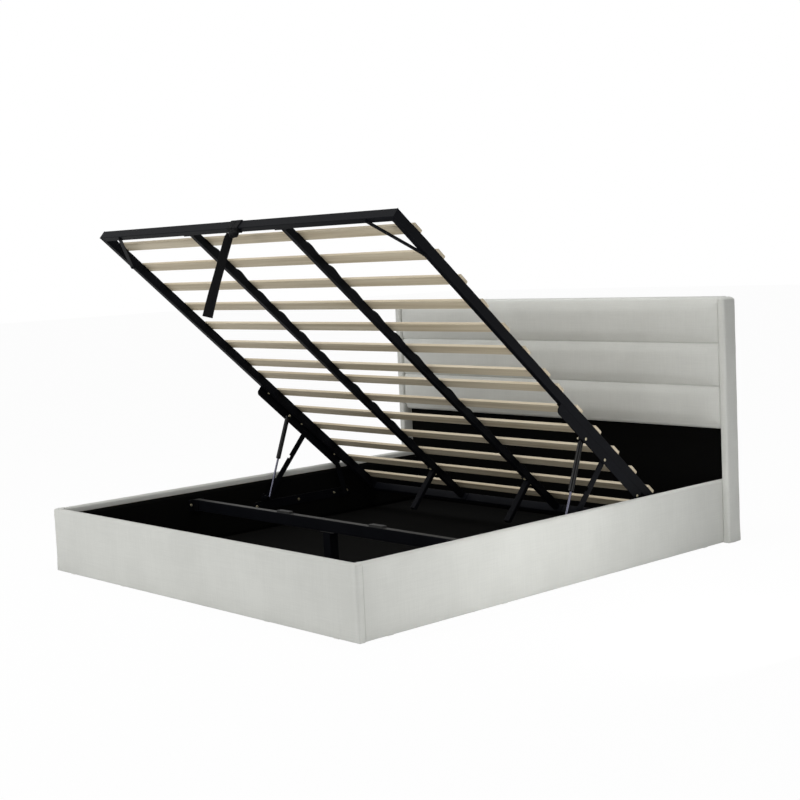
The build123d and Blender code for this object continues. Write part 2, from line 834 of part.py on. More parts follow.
def strap_hitch():
    """Webbing hitched round the foot tube, with its knot underneath."""
    gap = seat_gap
    low_x = hitch_place - hitch_width / 2
    high_x = hitch_place + hitch_width / 2
    outer = block(
        low_x, high_x, -gap - hitch_thickness, side_tube_width + gap + hitch_thickness,
        -side_tube_height - gap - hitch_thickness, gap + hitch_thickness,
    )
    outer = fillet(outer.edges().filter_by(Axis.X), hitch_thickness)
    tube_room = block(
        low_x - cut_overrun, high_x + cut_overrun, -gap, side_tube_width + gap,
        -side_tube_height - gap, gap,
    )
    knot = block(
        hitch_place - hitch_knot_width / 2, hitch_place + hitch_knot_width / 2, 0, side_tube_width,
        -strap_knot_drop, -side_tube_height - gap - hitch_thickness / 2,
    )
    knot = fillet(knot.edges().group_by(Axis.Z)[0].filter_by(Axis.X), hitch_knot_radius)
    return (outer - tube_room) + knot


strap_knot_drop = side_tube_height + seat_gap + hitch_thickness + hitch_knot_depth
strap_pivot_drop = strap_knot_drop + seat_gap + strap_gather_thickness / 2
strap_pivot = open_point(side_tube_width / 2, strap_pivot_drop)


def pull_strap():
    """Free end of the strap: gathered at the knot, opening to its full width."""
    gather_length = strap_length * strap_gather_share
    root = Rectangle(strap_gather_thickness / 2, strap_gather_thickness / 2)
    gather = Rectangle(strap_gather_width, strap_gather_thickness / 2)
    band = Rectangle(strap_width, strap_thickness)
    turn = Rot(0, 0, strap_turn)
    sections = [
        turn * root,
        Pos(0, 0, -strap_gather_width) * turn * gather,
        Pos(0, 0, -gather_length) * turn * gather,
        Pos(0, 0, -2 * gather_length) * turn * band,
        Pos(0, 0, -strap_length) * turn * band,
    ]
    fold = Plane.YZ.offset(-strap_gather_width / 2) * Circle(strap_gather_thickness / 2)
    strap = loft(sections, ruled=True) + extrude(fold, strap_gather_width)
    return Pos(strap_place, strap_pivot[0], strap_pivot[1]) * Rot(-strap_lean, 0, 0) * strap


def save_pair(name, right_shapes):
    """Write a right-hand piece and its mirror image as two nodes."""
    save(f"{name}_right", right_shapes)
    save(f"{name}_left", [left_of(shape) for shape in right_shapes])


def save_base():
    save("footboard_board", footboard_board())
    save("footboard_cover", footboard_cover())
    save_pair("side_rail_board", [rail_board()])
    save_pair("side_rail_cover", [rail_cover()])
    save("box_lining", [footboard_lining()] + pair(rail_lining()))
    save("bottom_panels", pair(bottom_panel()))
    save("headboard_panel", headboard_panel())
    save("headboard_lining", headboard_lining())
    save("headboard_pad", headboard_pad())
    save_pair("headboard_wing", [headboard_wing()])
    corners = ((foot_inner_y, 1), (box_head_y, -1))
    brackets = [corner_bracket(y, towards) for y, towards in corners] + [beam_bracket()]
    save("rail_brackets", [shape for bracket in brackets for shape in pair(bracket)])
    save("cross_beam", cross_beam())
    save("rest_pads", pair(rest_pad()))
    save("centre_leg", centre_leg())
    save("floor_glides", floor_glides())
    save_pair("lift_bracket", [bracket_base()])
    save("ground_pivots", ground_pivots())
    heads = [head for y, towards in corners for head in corner_bolts(y, towards)]
    heads += beam_bracket_bolts() + bracket_bolts()
    save("base_bolts", [shape for head in heads for shape in pair(head)])


def save_lift_frame():
    save("foot_tube", frame_open * foot_tube())
    save("head_tube", frame_open * head_tube())
    for name, shapes in (
        ("side_tube", [side_tube()]),
        ("inner_rail", inner_rail()),
        ("lift_angle", [lift_angle()]),
        ("frame_leg", [frame_leg()]),
    ):
        save_pair(name, [frame_open * shape for shape in shapes])
    save("corner_braces", [frame_open * shape for shape in pair(corner_brace())])
    save("frame_pivots", [frame_open * shape for shape in frame_pivots()])
    save("frame_bolts", [frame_open * shape for shape in frame_bolts()])
    save("slat_webbing", [frame_open * shape for shape in slat_webbing()])
    first_half, second_half = slat_places()
    for number, place in enumerate(first_half + second_half, start=1):
        save(f"slat_{number:02d}", frame_open * slat(place))
    save("strap_hitch", frame_open * strap_hitch())


def save_movers():
    save_pair("front_link", [front_link()])
    save_pair("rear_link", [rear_link()])
    save_pair("strut_cylinder", [strut_cylinder()])
    save_pair("strut_rod", [strut_rod()])
    save("pull_strap", pull_strap())


save_base()
save_lift_frame()
save_movers()

closed_front = closed_point(front_pivot_place, pivot_drop)
closed_rear = closed_point(rear_pivot_place, pivot_drop)
closed_strut = closed_point(strut_pivot_place, pivot_drop)
for name, ground, raised, closed in (
    ("front link", front_ground, front_pivot, closed_front),
    ("rear link", rear_ground, rear_pivot, closed_rear),
    ("strut", front_ground, strut_pivot, closed_strut),
):
    print(name, "ground", ground, "raised pivot", raised)
    print(name, "angle raised", bearing(ground, raised), "closed", bearing(ground, closed))
    print(name, "length raised", distance(ground, raised), "closed", distance(ground, closed))
print("raised foot corner", open_foot, "strap pivot", strap_pivot)
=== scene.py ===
"""Looks of an upholstered storage bed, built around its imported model.

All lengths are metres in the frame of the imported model. Pieces of the slatted
frame are drawn as if it lay flat, with S running from its foot end towards the
head as Y and the top of its tubes at Z 0, and are then put in the raised place.
"""
import bmesh
import bpy
import json
import math
import numpy as np
from mathutils import Matrix, Vector

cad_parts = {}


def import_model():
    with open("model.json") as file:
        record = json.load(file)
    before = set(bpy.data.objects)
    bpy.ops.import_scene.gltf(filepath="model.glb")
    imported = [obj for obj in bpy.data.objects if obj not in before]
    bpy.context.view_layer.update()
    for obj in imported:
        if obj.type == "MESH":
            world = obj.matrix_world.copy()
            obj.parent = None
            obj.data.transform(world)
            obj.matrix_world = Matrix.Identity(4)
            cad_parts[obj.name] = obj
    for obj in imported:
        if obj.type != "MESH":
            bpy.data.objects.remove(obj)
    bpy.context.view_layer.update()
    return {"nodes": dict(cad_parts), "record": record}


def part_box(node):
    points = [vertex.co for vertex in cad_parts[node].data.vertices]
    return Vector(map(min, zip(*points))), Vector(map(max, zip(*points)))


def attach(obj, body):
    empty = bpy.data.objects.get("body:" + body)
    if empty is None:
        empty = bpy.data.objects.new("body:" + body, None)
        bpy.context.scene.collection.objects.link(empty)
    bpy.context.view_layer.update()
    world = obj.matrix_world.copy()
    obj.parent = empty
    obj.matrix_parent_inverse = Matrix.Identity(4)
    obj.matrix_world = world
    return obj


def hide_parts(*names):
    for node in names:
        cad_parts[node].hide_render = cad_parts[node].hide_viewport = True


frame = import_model()
nodes = frame["nodes"]
scene = bpy.context.scene

# The raised slatted frame
LIFT_TILT = math.radians(41.3)
LIFT_FOOT = (0.0, -0.7673402, 1.4561523)
LIFT_PLACE = Matrix.Translation(LIFT_FOOT) @ Matrix.Rotation(-LIFT_TILT, 4, "X")
LIFT_LENGTH = 2.012
LIFT_HALF_WIDTH = 0.950
TUBE_WIDTH = 0.025
TUBE_HEIGHT = 0.038
INNER_RAIL_X = 0.300
SLAT_WIDTH = 0.046
SLAT_FOOT_OFFSET = 0.114
SLAT_HEAD_OFFSET = 0.096
SLAT_MIDDLE_GAP = 0.098
SLATS_PER_HALF = 7
TAPE_THICKNESS = 0.0012


# Numbers

def smooth(value):
    """Ease from 0 to 1 as the value goes from 0 to 1."""
    share = np.clip(value, 0, 1)
    return share * share * (3 - 2 * share)


def bell(value):
    """Give 1 at zero, falling off smoothly to each side."""
    return np.exp(-np.square(value))


def pillow(value, power=4):
    """Give 1 in the middle, falling to 0 where the value reaches 1."""
    return 1 - np.clip(np.abs(value), 0, 1) ** power


def ripple(points, waves, size):
    """Add up a few long sine waves, as soft unevenness of cloth."""
    total = np.zeros(len(points))
    for x, y, z, start in waves:
        total += np.sin(points @ np.array((x, y, z)) + start)
    return total * size / len(waves)


# Each wave's radians per metre along x, y and z, and where it starts
CLOTH_WAVES = (
    (9.0, 7.0, 23.0, 0.4),
    (17.0, 13.0, -31.0, 1.9),
    (31.0, 37.0, 47.0, 3.1),
    (-53.0, 61.0, 29.0, 4.4),
)


# Meshes

GRID_LEAST_SHARE = 0.4
BAND_EDGE_SHARE = 0.4
PIECE_ANGLE = math.radians(40)
NODE_ANGLE = math.radians(35)


def grid_lines(low, high, step, near=(), fine=0.0016, reach=5):
    """Give grid lines along one axis, close together at both ends and near places."""
    marks = list(np.linspace(low, high, max(2, round((high - low) / step) + 1)))
    for place in (low, high, *near):
        marks += [place + fine * count for count in range(-reach, reach + 1)]
    least = fine * GRID_LEAST_SHARE
    kept = [low]
    for mark in sorted(marks):
        if mark - kept[-1] > least and high - mark > least:
            kept.append(mark)
    return kept + [high]


def box_shell(lines):
    """Give the points and quads of a closed box with these grid lines."""
    found, points, faces = {}, [], []

    def vertex(key):
        if key not in found:
            found[key] = len(points)
            points.append([lines[axis][key[axis]] for axis in range(3)])
        return found[key]

    for axis in range(3):
        across, along = (axis + 1) % 3, (axis + 2) % 3
        for end in (0, len(lines[axis]) - 1):
            for i in range(len(lines[across]) - 1):
                for j in range(len(lines[along]) - 1):
                    quad = []
                    for a, b in ((i, j), (i + 1, j), (i + 1, j + 1), (i, j + 1)):
                        key = [0, 0, 0]
                        key[axis], key[across], key[along] = end, a, b
                        quad.append(vertex(tuple(key)))
                    faces.append(quad if end else quad[::-1])
    return np.array(points), faces


def soft_box(low, high, steps, near, radius, swell):
    """Give a closed box with rounded edges, its surface moved outward by swell.

    Steps and near hold a grid step and grid places for each axis. Radius gives
    an edge radius for each point, and swell a move for each point and normal.
    """
    lines = [grid_lines(*axis) for axis in zip(low, high, steps, near)]
    points, faces = box_shell(lines)
    round_off = radius(points)[:, None]
    core = np.clip(points, np.array(low) + round_off, np.array(high) - round_off)
    away = points - core
    normals = away / np.linalg.norm(away, axis=1, keepdims=True)
    points = core + normals * round_off
    return points + normals * swell(points, normals)[:, None], faces


def skin(rings, closed=False):
    """Give the points and faces of a run of rings, capped unless it is closed."""
    count, size = len(rings), len(rings[0])
    points = np.concatenate([np.asarray(ring, float) for ring in rings])
    faces = []
    for k in range(count if closed else count - 1):
        first, second = k * size, (k + 1) % count * size
        for i in range(size):
            j = (i + 1) % size
            faces.append([first + i, first + j, second + j, second + i])
    if not closed:
        faces.append(list(range(size))[::-1])
        faces.append(list(range((count - 1) * size, count * size)))
    return points, faces


def band_ring(centre, side, up, width, thickness):
    """Give the section of a flat band, its edges rounded."""
    half, rise = width / 2, thickness / 2
    flat = half - thickness * BAND_EDGE_SHARE
    shape = (
        (-half, 0), (-flat, -rise), (-flat / 3, -rise), (flat / 3, -rise), (flat, -rise),
        (half, 0), (flat, rise), (flat / 3, rise), (-flat / 3, rise), (-flat, rise),
    )
    return [centre + side * x + up * z for x, z in shape]


def ribbon(path, side, width, thickness, closed=False):
    """Give a flat band along a path, its width turned along side."""
    path = np.asarray(path, float)
    sides = np.broadcast_to(side, path.shape)
    widths = np.broadcast_to(width, len(path))
    if closed:
        ways = np.roll(path, -1, axis=0) - np.roll(path, 1, axis=0)
    else:
        ways = np.gradient(path, axis=0)
    ups = np.cross(sides, ways)
    ups /= np.linalg.norm(ups, axis=1, keepdims=True)
    rings = [band_ring(*row, thickness) for row in zip(path, sides, ups, widths)]
    return skin(rings, closed)


def lathe(profile, place, axis, count=20, corners=6):
    """Turn (radius, height) rows about an axis; rows with a third value get corners."""
    turn = Vector(axis).to_track_quat("Z", "Y").to_matrix()
    half = math.pi / corners
    rings = []
    for radius, height, *cornered in profile:
        ring = []
        for k in range(count):
            angle = 2 * math.pi * k / count
            reach = radius
            if cornered:
                reach = radius * math.cos(half) / math.cos((angle % (2 * half)) - half)
            point = turn @ Vector((reach * math.cos(angle), reach * math.sin(angle), height))
            ring.append(tuple(point + Vector(place)))
        rings.append(ring)
    return skin(rings)


def joined(parts):
    """Join several sets of points and faces into one."""
    points, faces, start = [], [], 0
    for part_points, part_faces in parts:
        points.append(np.asarray(part_points, float))
        faces += [[start + index for index in face] for face in part_faces]
        start += len(part_points)
    return np.concatenate(points), faces


def places_of(data):
    """Give the places of a mesh's vertices."""
    return np.array([vertex.co for vertex in data.vertices], float)


def set_places(made, points):
    """Put the vertices of a piece at these points."""
    made.data.vertices.foreach_set("co", points.astype(np.float32).ravel())
    made.data.update()


def piece(name, body, slot, mesh, place=None, replaced=(), smooth_angle=PIECE_ANGLE):
    """Make a piece from points and faces, which rides on a body."""
    points, faces = mesh
    data = bpy.data.meshes.new(name)
    data.from_pydata([tuple(point) for point in points], [], faces)
    data.validate()
    work = bmesh.new()
    work.from_mesh(data)
    bmesh.ops.recalc_face_normals(work, faces=work.faces)
    work.to_mesh(data)
    work.free()
    data.update()
    made = bpy.data.objects.new(name, data)
    scene.collection.objects.link(made)
    data.materials.append(finishes[slot])
    data.shade_smooth()
    if smooth_angle is not None:
        data.set_sharp_from_angle(angle=smooth_angle)
    if place is not None:
        made.matrix_world = place
    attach(made, body)
    if replaced:
        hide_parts(*replaced)
    return made


# Finishes

def screen(red, green, blue):
    """Give the linear colour of an 8-bit screen colour."""
    linear = []
    for value in (red, green, blue):
        share = value / 255
        linear.append(share / 12.92 if share <= 0.04045 else ((share + 0.055) / 1.055) ** 2.4)
    return (*linear, 1.0)


class Finish:
    """A material made of nodes, with short calls to add them.

    A socket is given by its name, with _ for a space, or by its number as i0.
    """

    def __init__(self, name, **sockets):
        self.material = bpy.data.materials.new(name)
        self.material.use_nodes = True
        self.tree = self.material.node_tree
        self.shader = self.tree.nodes["Principled BSDF"]
        for socket, value in sockets.items():
            self.shader.inputs[socket.replace("_", " ")].default_value = value
        self.place = self.tree.nodes.new("ShaderNodeTexCoord").outputs["Object"]

    def node(self, kind, settings=(), **inputs):
        """Add a node, its inputs linked or set."""
        made = self.tree.nodes.new("ShaderNode" + kind)
        for key, value in dict(settings).items():
            setattr(made, key, value)
        for key, value in inputs.items():
            numbered = key[0] == "i" and key[1:].isdigit()
            socket = made.inputs[int(key[1:]) if numbered else key.replace("_", " ")]
            if isinstance(value, bpy.types.NodeSocket):
                self.tree.links.new(value, socket)
            else:
                socket.default_value = value
        return made

    def noise(self, scale, detail, rough=0.5, stretch=(1, 1, 1)):
        """Give noise, drawn out along an axis where stretch is small."""
        place = self.node("Mapping", Vector=self.place, Scale=stretch).outputs[0]
        made = self.node("TexNoise", Vector=place, Scale=scale, Detail=detail, Roughness=rough)
        return made.outputs["Fac"]

    def waves(self, axis, pitch, distortion):
        """Give bands across an axis, one each pitch."""
        bands = {"bands_direction": axis}
        scale = math.pi / 10 / pitch
        made = self.node("TexWave", bands, Vector=self.place, Scale=scale, Distortion=distortion)
        return made.outputs["Fac"]

    def sum(self, first, second):
        """Add two values."""
        return self.node("Math", {"operation": "ADD"}, i0=first, i1=second).outputs[0]

    def product(self, first, second):
        """Multiply two values."""
        return self.node("Math", {"operation": "MULTIPLY"}, i0=first, i1=second).outputs[0]

    def mix(self, share, first, second):
        """Blend two colours, the second one by its share."""
        return self.node("Mix", {"data_type": "RGBA"}, i0=share, i6=first, i7=second).outputs[2]

    def between(self, factor, first, second, clip=(0.3, 0.7)):
        """Blend two colours while the factor goes through the clip range."""
        share = self.node("MapRange", Value=factor, From_Min=clip[0], From_Max=clip[1]).outputs[0]
        return self.mix(share, first, second)

    def level(self, factor, low, high):
        """Give a number from low to high while the factor goes from 0 to 1."""
        return self.node("MapRange", Value=factor, To_Min=low, To_Max=high).outputs[0]

    def finish(self, colour, roughness, height, strength, depth):
        """Link colour, roughness and relief; roughness may be None."""
        self.tree.links.new(colour, self.shader.inputs["Base Color"])
        if roughness is not None:
            self.tree.links.new(roughness, self.shader.inputs["Roughness"])
        bump = self.node("Bump", Height=height, Strength=strength, Distance=depth)
        self.tree.links.new(bump.outputs[0], self.shader.inputs["Normal"])
        return self.material


def woven(made, pitches, distortions):
    """Give the height of threads along all three axes."""
    rows = [made.waves(*row) for row in zip("XYZ", pitches, distortions)]
    return made.sum(made.sum(rows[0], rows[1]), rows[2])


def light_fabric():
    """Pale plain weave, with slubs along and across."""
    made = Finish(
        "light_fabric", Roughness=0.85, Sheen_Weight=0.25, Sheen_Roughness=0.4,
        Specular_IOR_Level=0.25,
    )
    slubs = [made.noise(260, 3, 0.6, stretch) for stretch in ((1, 1, 0.03), (0.03, 0.03, 1))]
    slub = made.sum(*slubs)
    tone = made.sum(made.noise(5, 3), made.product(slub, 0.6))
    colour = made.between(tone, screen(206, 207, 202), screen(214, 215, 210), (0.9, 1.35))
    height = made.sum(woven(made, (0.0009,) * 3, (0.6,) * 3), made.noise(300, 2))
    return made.finish(colour, None, height, 0.25, 0.0003)


def black_lining():
    """Matt felted cloth."""
    made = Finish("black_lining", Roughness=0.95, Specular_IOR_Level=0.03)
    fibres = made.noise(600, 5, 0.7)
    colour = made.between(fibres, screen(7, 7, 7), screen(15, 15, 14))
    height = made.sum(fibres, made.noise(40, 3))
    return made.finish(colour, None, height, 0.5, 0.0006)


def board_wood():
    """Pressed chips."""
    made = Finish("board_wood", Roughness=0.8)
    chips = made.noise(160, 5, 0.65, (1, 1, 2))
    colour = made.between(chips, screen(150, 121, 86), screen(196, 168, 127))
    return made.finish(colour, None, chips, 0.3, 0.0005)


def black_steel():
    """Powder-coated steel, with a little painted sheen of light from above on its level faces."""
    made = Finish("black_steel", Specular_IOR_Level=0.04)
    peel = made.noise(900, 2)
    wear = made.noise(6, 5, 0.6)
    coat = made.between(wear, screen(10, 11, 14), screen(15, 16, 20))
    # Painted sheen: faces that point up are mixed towards grey in patches, standing in for light
    # reflected off them from above.
    normal = made.node("NewGeometry").outputs["Normal"]
    facing = made.node("SeparateXYZ", Vector=normal).outputs["Z"]
    level_sheen_mask = made.node("MapRange", Value=facing, From_Min=0.9, From_Max=0.99).outputs[0]
    share = made.product(level_sheen_mask, made.level(made.noise(25, 5), 0.45, 1.0))
    sheen_coat = made.mix(share, coat, screen(66, 66, 64))
    return made.finish(sheen_coat, made.level(wear, 0.38, 0.52), peel, 0.25, 0.0003)


def slat_wood():
    """Planed wood, its grain along the slats."""
    made = Finish("slat_wood", Roughness=0.62)
    grain = made.noise(30, 4, 0.55, (0.05, 2.6, 2.6))
    streaks = made.noise(9, 4, 0.5, (0.12, 3.0, 3.0))
    tone = made.sum(made.product(grain, 0.6), made.product(streaks, 0.4))
    colour = made.between(tone, screen(176, 162, 135), screen(208, 197, 174), (0.36, 0.62))
    return made.finish(colour, made.level(grain, 0.5, 0.75), grain, 0.15, 0.00015)


def zinc_steel():
    """Plated steel, slightly yellow."""
    made = Finish("zinc_steel", Metallic=1.0)
    tint = made.noise(220, 4)
    colour = made.between(tint, screen(140, 133, 108), screen(184, 177, 156))
    return made.finish(colour, made.level(tint, 0.25, 0.45), made.noise(1200, 2), 0.15, 0.0002)


def black_rubber():
    """Dull rubber with dust on it."""
    made = Finish("black_rubber")
    dust = made.noise(60, 5)
    colour = made.between(dust, screen(22, 22, 22), screen(34, 34, 33))
    return made.finish(colour, made.level(dust, 0.7, 0.9), made.noise(500, 3), 0.3, 0.0003)


def pale_plastic():
    """Moulded plastic with a fine grain."""
    made = Finish("pale_plastic")
    grain = made.noise(1400, 3)
    colour = made.between(made.noise(30, 4), screen(222, 222, 216), screen(236, 236, 232))
    return made.finish(colour, made.level(grain, 0.45, 0.6), grain, 0.3, 0.0002)


def black_webbing():
    """Coarsely woven tape."""
    made = Finish("black_webbing", Sheen_Weight=0.03, Specular_IOR_Level=0.08)
    cords = woven(made, (0.0016, 0.0011, 0.0011), (0.4, 0.5, 0.5))
    tone = made.sum(cords, made.noise(90, 3))
    colour = made.between(tone, screen(5, 5, 6), screen(15, 15, 17), (0.8, 2.6))
    return made.finish(colour, made.level(cords, 0.6, 0.85), cords, 0.6, 0.0005)


def strut_steel():
    """Glossy enamel on the cylinders of the struts."""
    made = Finish("strut_steel", Specular_IOR_Level=0.12)
    smear = made.noise(30, 4, 0.6, (1, 1, 0.3))
    colour = made.between(smear, screen(3, 3, 4), screen(5, 5, 7))
    return made.finish(colour, made.level(smear, 0.06, 0.12), made.noise(700, 2), 0.08, 0.0002)


def chrome_rod():
    """Polished rods of the struts."""
    made = Finish("chrome_rod", Metallic=1.0)
    polish = made.noise(900, 3, 0.6, (1, 1, 0.05))
    colour = made.between(polish, screen(52, 52, 61), screen(82, 82, 93))
    return made.finish(colour, made.level(polish, 0.08, 0.22), polish, 0.05, 0.0001)


finishes = {
    make.__name__: make()
    for make in (
        light_fabric, black_lining, board_wood, black_steel, slat_wood, zinc_steel,
        black_rubber, pale_plastic, black_webbing, strut_steel, chrome_rod,
    )
}
for part in frame["record"]["subparts"]:
    node = nodes[part["node"]]
    node.data.materials.clear()
    node.data.materials.append(finishes[part["material_slot"]])
    node.data.shade_smooth()
    node.data.set_sharp_from_angle(angle=NODE_ANGLE)


# Box covers

HEM_HEIGHT = 0.0012
COVER_RADIUS = 0.011
FOOT_RADIUS = 0.005
END_RADIUS = 0.0025
CROWN = 0.0022
FRONT_RIPPLE = 0.0006
RAIL_RIPPLE = 0.0007
RAIL_TOP_RIPPLE = 0.0003
WING_RIPPLE = 0.0005

# The grid steps along x, y and z
FOOTBOARD_STEPS = 0.008, 0.006, 0.010
RAIL_STEPS = 0.008, 0.012, 0.010
WING_STEPS = 0.006, 0.006, 0.012

# How late the crown falls off along a cover, on the footboard and elsewhere
FOOTBOARD_POWER = 12
LONG_POWER = 30

# The full radius is reached this many radii above the foot
FOOT_RUN_RADII = 8

# The least part of a normal along an axis that counts as facing it
FACING = 0.9

# Where the lining lies, inside the box
STORAGE_FLOOR = 0.010
LIP_DEPTH = 0.027
RECESS_DEPTH = 0.0042
RECESS_STEP = 0.0002

# The joint between the footboard and a rail
JOINT_DEPTH = 0.0075
JOINT_WIDTH = 0.0030
JOINT_FADE = 0.022
JOINT_EASE = 0.01

# The footboard's valley beside each end, the puckers in it and the roll on top
VALLEY_INSET = 0.024
VALLEY_DEPTH = 0.0016
VALLEY_WIDTH = 0.009
PUCKER_SIZE = 0.0003
PUCKER_WIDTH = 0.02
PUCKER_WAVE = 190
PUCKER_DRIFT = 41
ROLL_SIZE = 0.0008
ROLL_INSET = 0.03
ROLL_WIDTH = 0.02
BACK_EASE = 0.010
TOP_EASE = 0.004, 0.02
SIDE_EASE = 0.002, 0.012

RAIL_END_RUN = 0.03

WING_RADIUS = 0.010
WING_FOOT_RADIUS = 0.004
WING_SLOPE = 0.007
WING_SLOPE_RUN = 0.03
WING_SEAM_INSET = 0.012
WING_SEAM_DEPTH = 0.0016
WING_SEAM_WIDTH = 0.0022


def recess_edges(top):
    """Give grid places on both sides of a lining recess's two edges."""
    edges = STORAGE_FLOOR, top - LIP_DEPTH
    return [edge + side * RECESS_STEP for edge in edges for side in (-1, 1)]


def in_recess(z, top):
    """Say which heights lie between a lining recess's two edges."""
    return (z > STORAGE_FLOOR) & (z < top - LIP_DEPTH)


def corner_joint(y, z, edge, top):
    """Give the joint at a corner of the box, which fades out under its top."""
    return -JOINT_DEPTH * bell((y - edge) / JOINT_WIDTH) * smooth((top - z) / JOINT_FADE)


def rising(points, low, radius, foot_radius):
    """Ease an edge's radius from a small one at the foot to its full size."""
    share = smooth((points[:, 2] - low.z) / (FOOT_RUN_RADII * radius))
    return foot_radius + (radius - foot_radius) * share


def cover_box(node):
    """Give a cover's corners, clear of the floor, its middle and half its size."""
    low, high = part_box(node)
    low.z = HEM_HEIGHT
    return low, high, (low + high) / 2, (high - low) / 2


def footboard_cover():
    """Padded cover of the footboard, which shows its ends beside the rails."""
    low, high, middle, half = cover_box("footboard_cover")
    inner_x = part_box("side_rail_cover_right")[0].x
    valley_x = high.x - VALLEY_INSET

    def swell(points, normals):
        x, y, z = points.T
        front = np.maximum(-normals[:, 1], 0)
        along = pillow(x / valley_x, FOOTBOARD_POWER)
        crown = CROWN * pillow((z - middle.z) / half.z) * along
        from_valley = np.abs(x) - valley_x
        valley = -VALLEY_DEPTH * bell(from_valley / VALLEY_WIDTH)
        wrinkles = np.sin(z * PUCKER_WAVE + np.sin(z * PUCKER_DRIFT) * 2)
        pucker = PUCKER_SIZE * bell(from_valley / PUCKER_WIDTH) * wrinkles
        roll = ROLL_SIZE * bell((z - high.z + ROLL_INSET) / ROLL_WIDTH)
        waves = ripple(points, CLOTH_WAVES, FRONT_RIPPLE)
        outside = smooth((np.abs(x) - inner_x) / JOINT_EASE) * np.abs(normals[:, 0])
        joint = corner_joint(y, z, high.y, high.z) * outside
        inside = (normals[:, 1] > FACING) & (np.abs(x) < inner_x) & in_recess(z, high.z)
        move = (crown + valley + pucker + roll + waves) * front
        return np.where(inside, -RECESS_DEPTH, move + joint)

    def radius(points):
        x, y, z = np.abs(points[:, 0]), points[:, 1], points[:, 2]
        below = smooth((high.z - TOP_EASE[0] - z) / TOP_EASE[1])
        beside = smooth((x - inner_x + SIDE_EASE[0]) / SIDE_EASE[1])
        back = smooth((y - middle.y) / BACK_EASE) * np.maximum(below, beside)
        full = rising(points, low, COVER_RADIUS, FOOT_RADIUS)
        return full + (END_RADIUS - full) * back

    near = (-inner_x, inner_x), (), recess_edges(high.z)
    mesh = soft_box(low, high, FOOTBOARD_STEPS, near, radius, swell)
    made = piece("footboard_upholstery", "base", "light_fabric", mesh, replaced=["footboard_cover"])


def rail_cover(side, name):
    """Cover of one side rail; side is 1 for the right one and -1 for the left."""
    node = f"side_rail_cover_{name}"
    low, high, middle, half = cover_box(node)

    def swell(points, normals):
        y, z = points[:, 1], points[:, 2]
        outside = np.maximum(normals[:, 0] * side, 0)
        top = np.maximum(normals[:, 2], 0)
        along = pillow((y - middle.y) / half.y, LONG_POWER)
        crown = CROWN * pillow((z - middle.z) / half.z) * along
        joint = corner_joint(y, z, low.y, high.z)
        inside = (normals[:, 0] * side < -FACING) & in_recess(z, high.z)
        waves = ripple(points, CLOTH_WAVES, 1.0) * (RAIL_RIPPLE * outside + RAIL_TOP_RIPPLE * top)
        return np.where(inside, -RECESS_DEPTH, (crown + joint) * outside + waves)

    def radius(points):
        from_end = half.y - np.abs(points[:, 1] - middle.y)
        end = smooth(1 - from_end / RAIL_END_RUN)
        full = rising(points, low, COVER_RADIUS, FOOT_RADIUS)
        return full + (END_RADIUS - full) * end

    near = (), (), recess_edges(high.z)
    mesh = soft_box(low, high, RAIL_STEPS, near, radius, swell)
    made = piece(f"side_rail_upholstery_{name}", "base", "light_fabric", mesh, replaced=[node])


def headboard_wing(side, name):
    """Padded side of the headboard; side is 1 for the right one and -1 for the left."""
    node = f"headboard_wing_{name}"
    low, high, middle, half = cover_box(node)
    back_seam = high.y - WING_SEAM_INSET

    def swell(points, normals):
        y, z = points[:, 1], points[:, 2]
        outside = np.maximum(normals[:, 0] * side, 0)
        front = np.maximum(-normals[:, 1], 0)
        along = pillow((z - middle.z) / half.z, LONG_POWER)
        crown = CROWN * pillow((y - middle.y) / half.y) * along
        seam = -WING_SEAM_DEPTH * bell((y - back_seam) / WING_SEAM_WIDTH) * smooth(outside * 2)
        waves = ripple(points, CLOTH_WAVES, WING_RIPPLE) * (front + outside)
        return crown * outside + seam + waves

    def radius(points):
        return rising(points, low, WING_RADIUS, WING_FOOT_RADIUS)

    near = (), (back_seam,), ()
    points, faces = soft_box(low, high, WING_STEPS, near, radius, swell)
    outer = smooth((points[:, 0] - middle.x) * side / half.x / 2 + 0.5)
    near_top = smooth((points[:, 2] - high.z) / WING_SLOPE_RUN + 1)
    points[:, 2] -= WING_SLOPE * outer * near_top
    mesh = points, faces
    made = piece(f"headboard_wing_pad_{name}", "base", "light_fabric", mesh, replaced=[node])


footboard_cover()
for side, name in ((1, "right"), (-1, "left")):
    rail_cover(side, name)
    headboard_wing(side, name)


# Channelled headboard pad

PAD_CHANNELS = 3
PAD_TOP_ROLL = 0.013
PAD_CORNER = 0.020
PAD_CROWN = 0.011
PAD_START_CROWN = 0.007
PAD_CROWN_POWER = 0.3
PAD_TOP_WRAP = 0.016
PAD_STEP = 0.0115
SEAM_STEPS = (0.0012, 0.0030, 0.0058)
CORNER_STEPS = 6
TOP_ROWS, BACK_ROWS, UNDER_ROWS = 5, 12, 4

# How the ends draw in beside the wings
PAD_END_RUN = 0.018
PAD_END_DRAW = 0.020
PAD_END_BEND = 1.8
PAD_END_HOLD = 1.4
PAD_END_STEP = 0.003
PAD_END_LINES = 11
PAD_TOP_RUN = 0.06

# How firmly the rows of the pad are held while it fills; 1 is fixed
FREE, LOW_HOLD, TOP_HOLD, FIXED = 0.0, 0.5, 0.8, 1.0
PAD_PRESSURE = 4.0
PAD_CAP = 0.005
PAD_FRAMES = 20

TUCK_DEPTH = 0.0032
TUCK_WIDTH = 0.0028
TUCK_FRONT = 0.035
TUCK_EASE = 0.012
TUCK_PUCKER = 0.35
TUCK_WAVE = 74
TUCK_DRIFT = 13
FRONT_LIMIT = 0.002


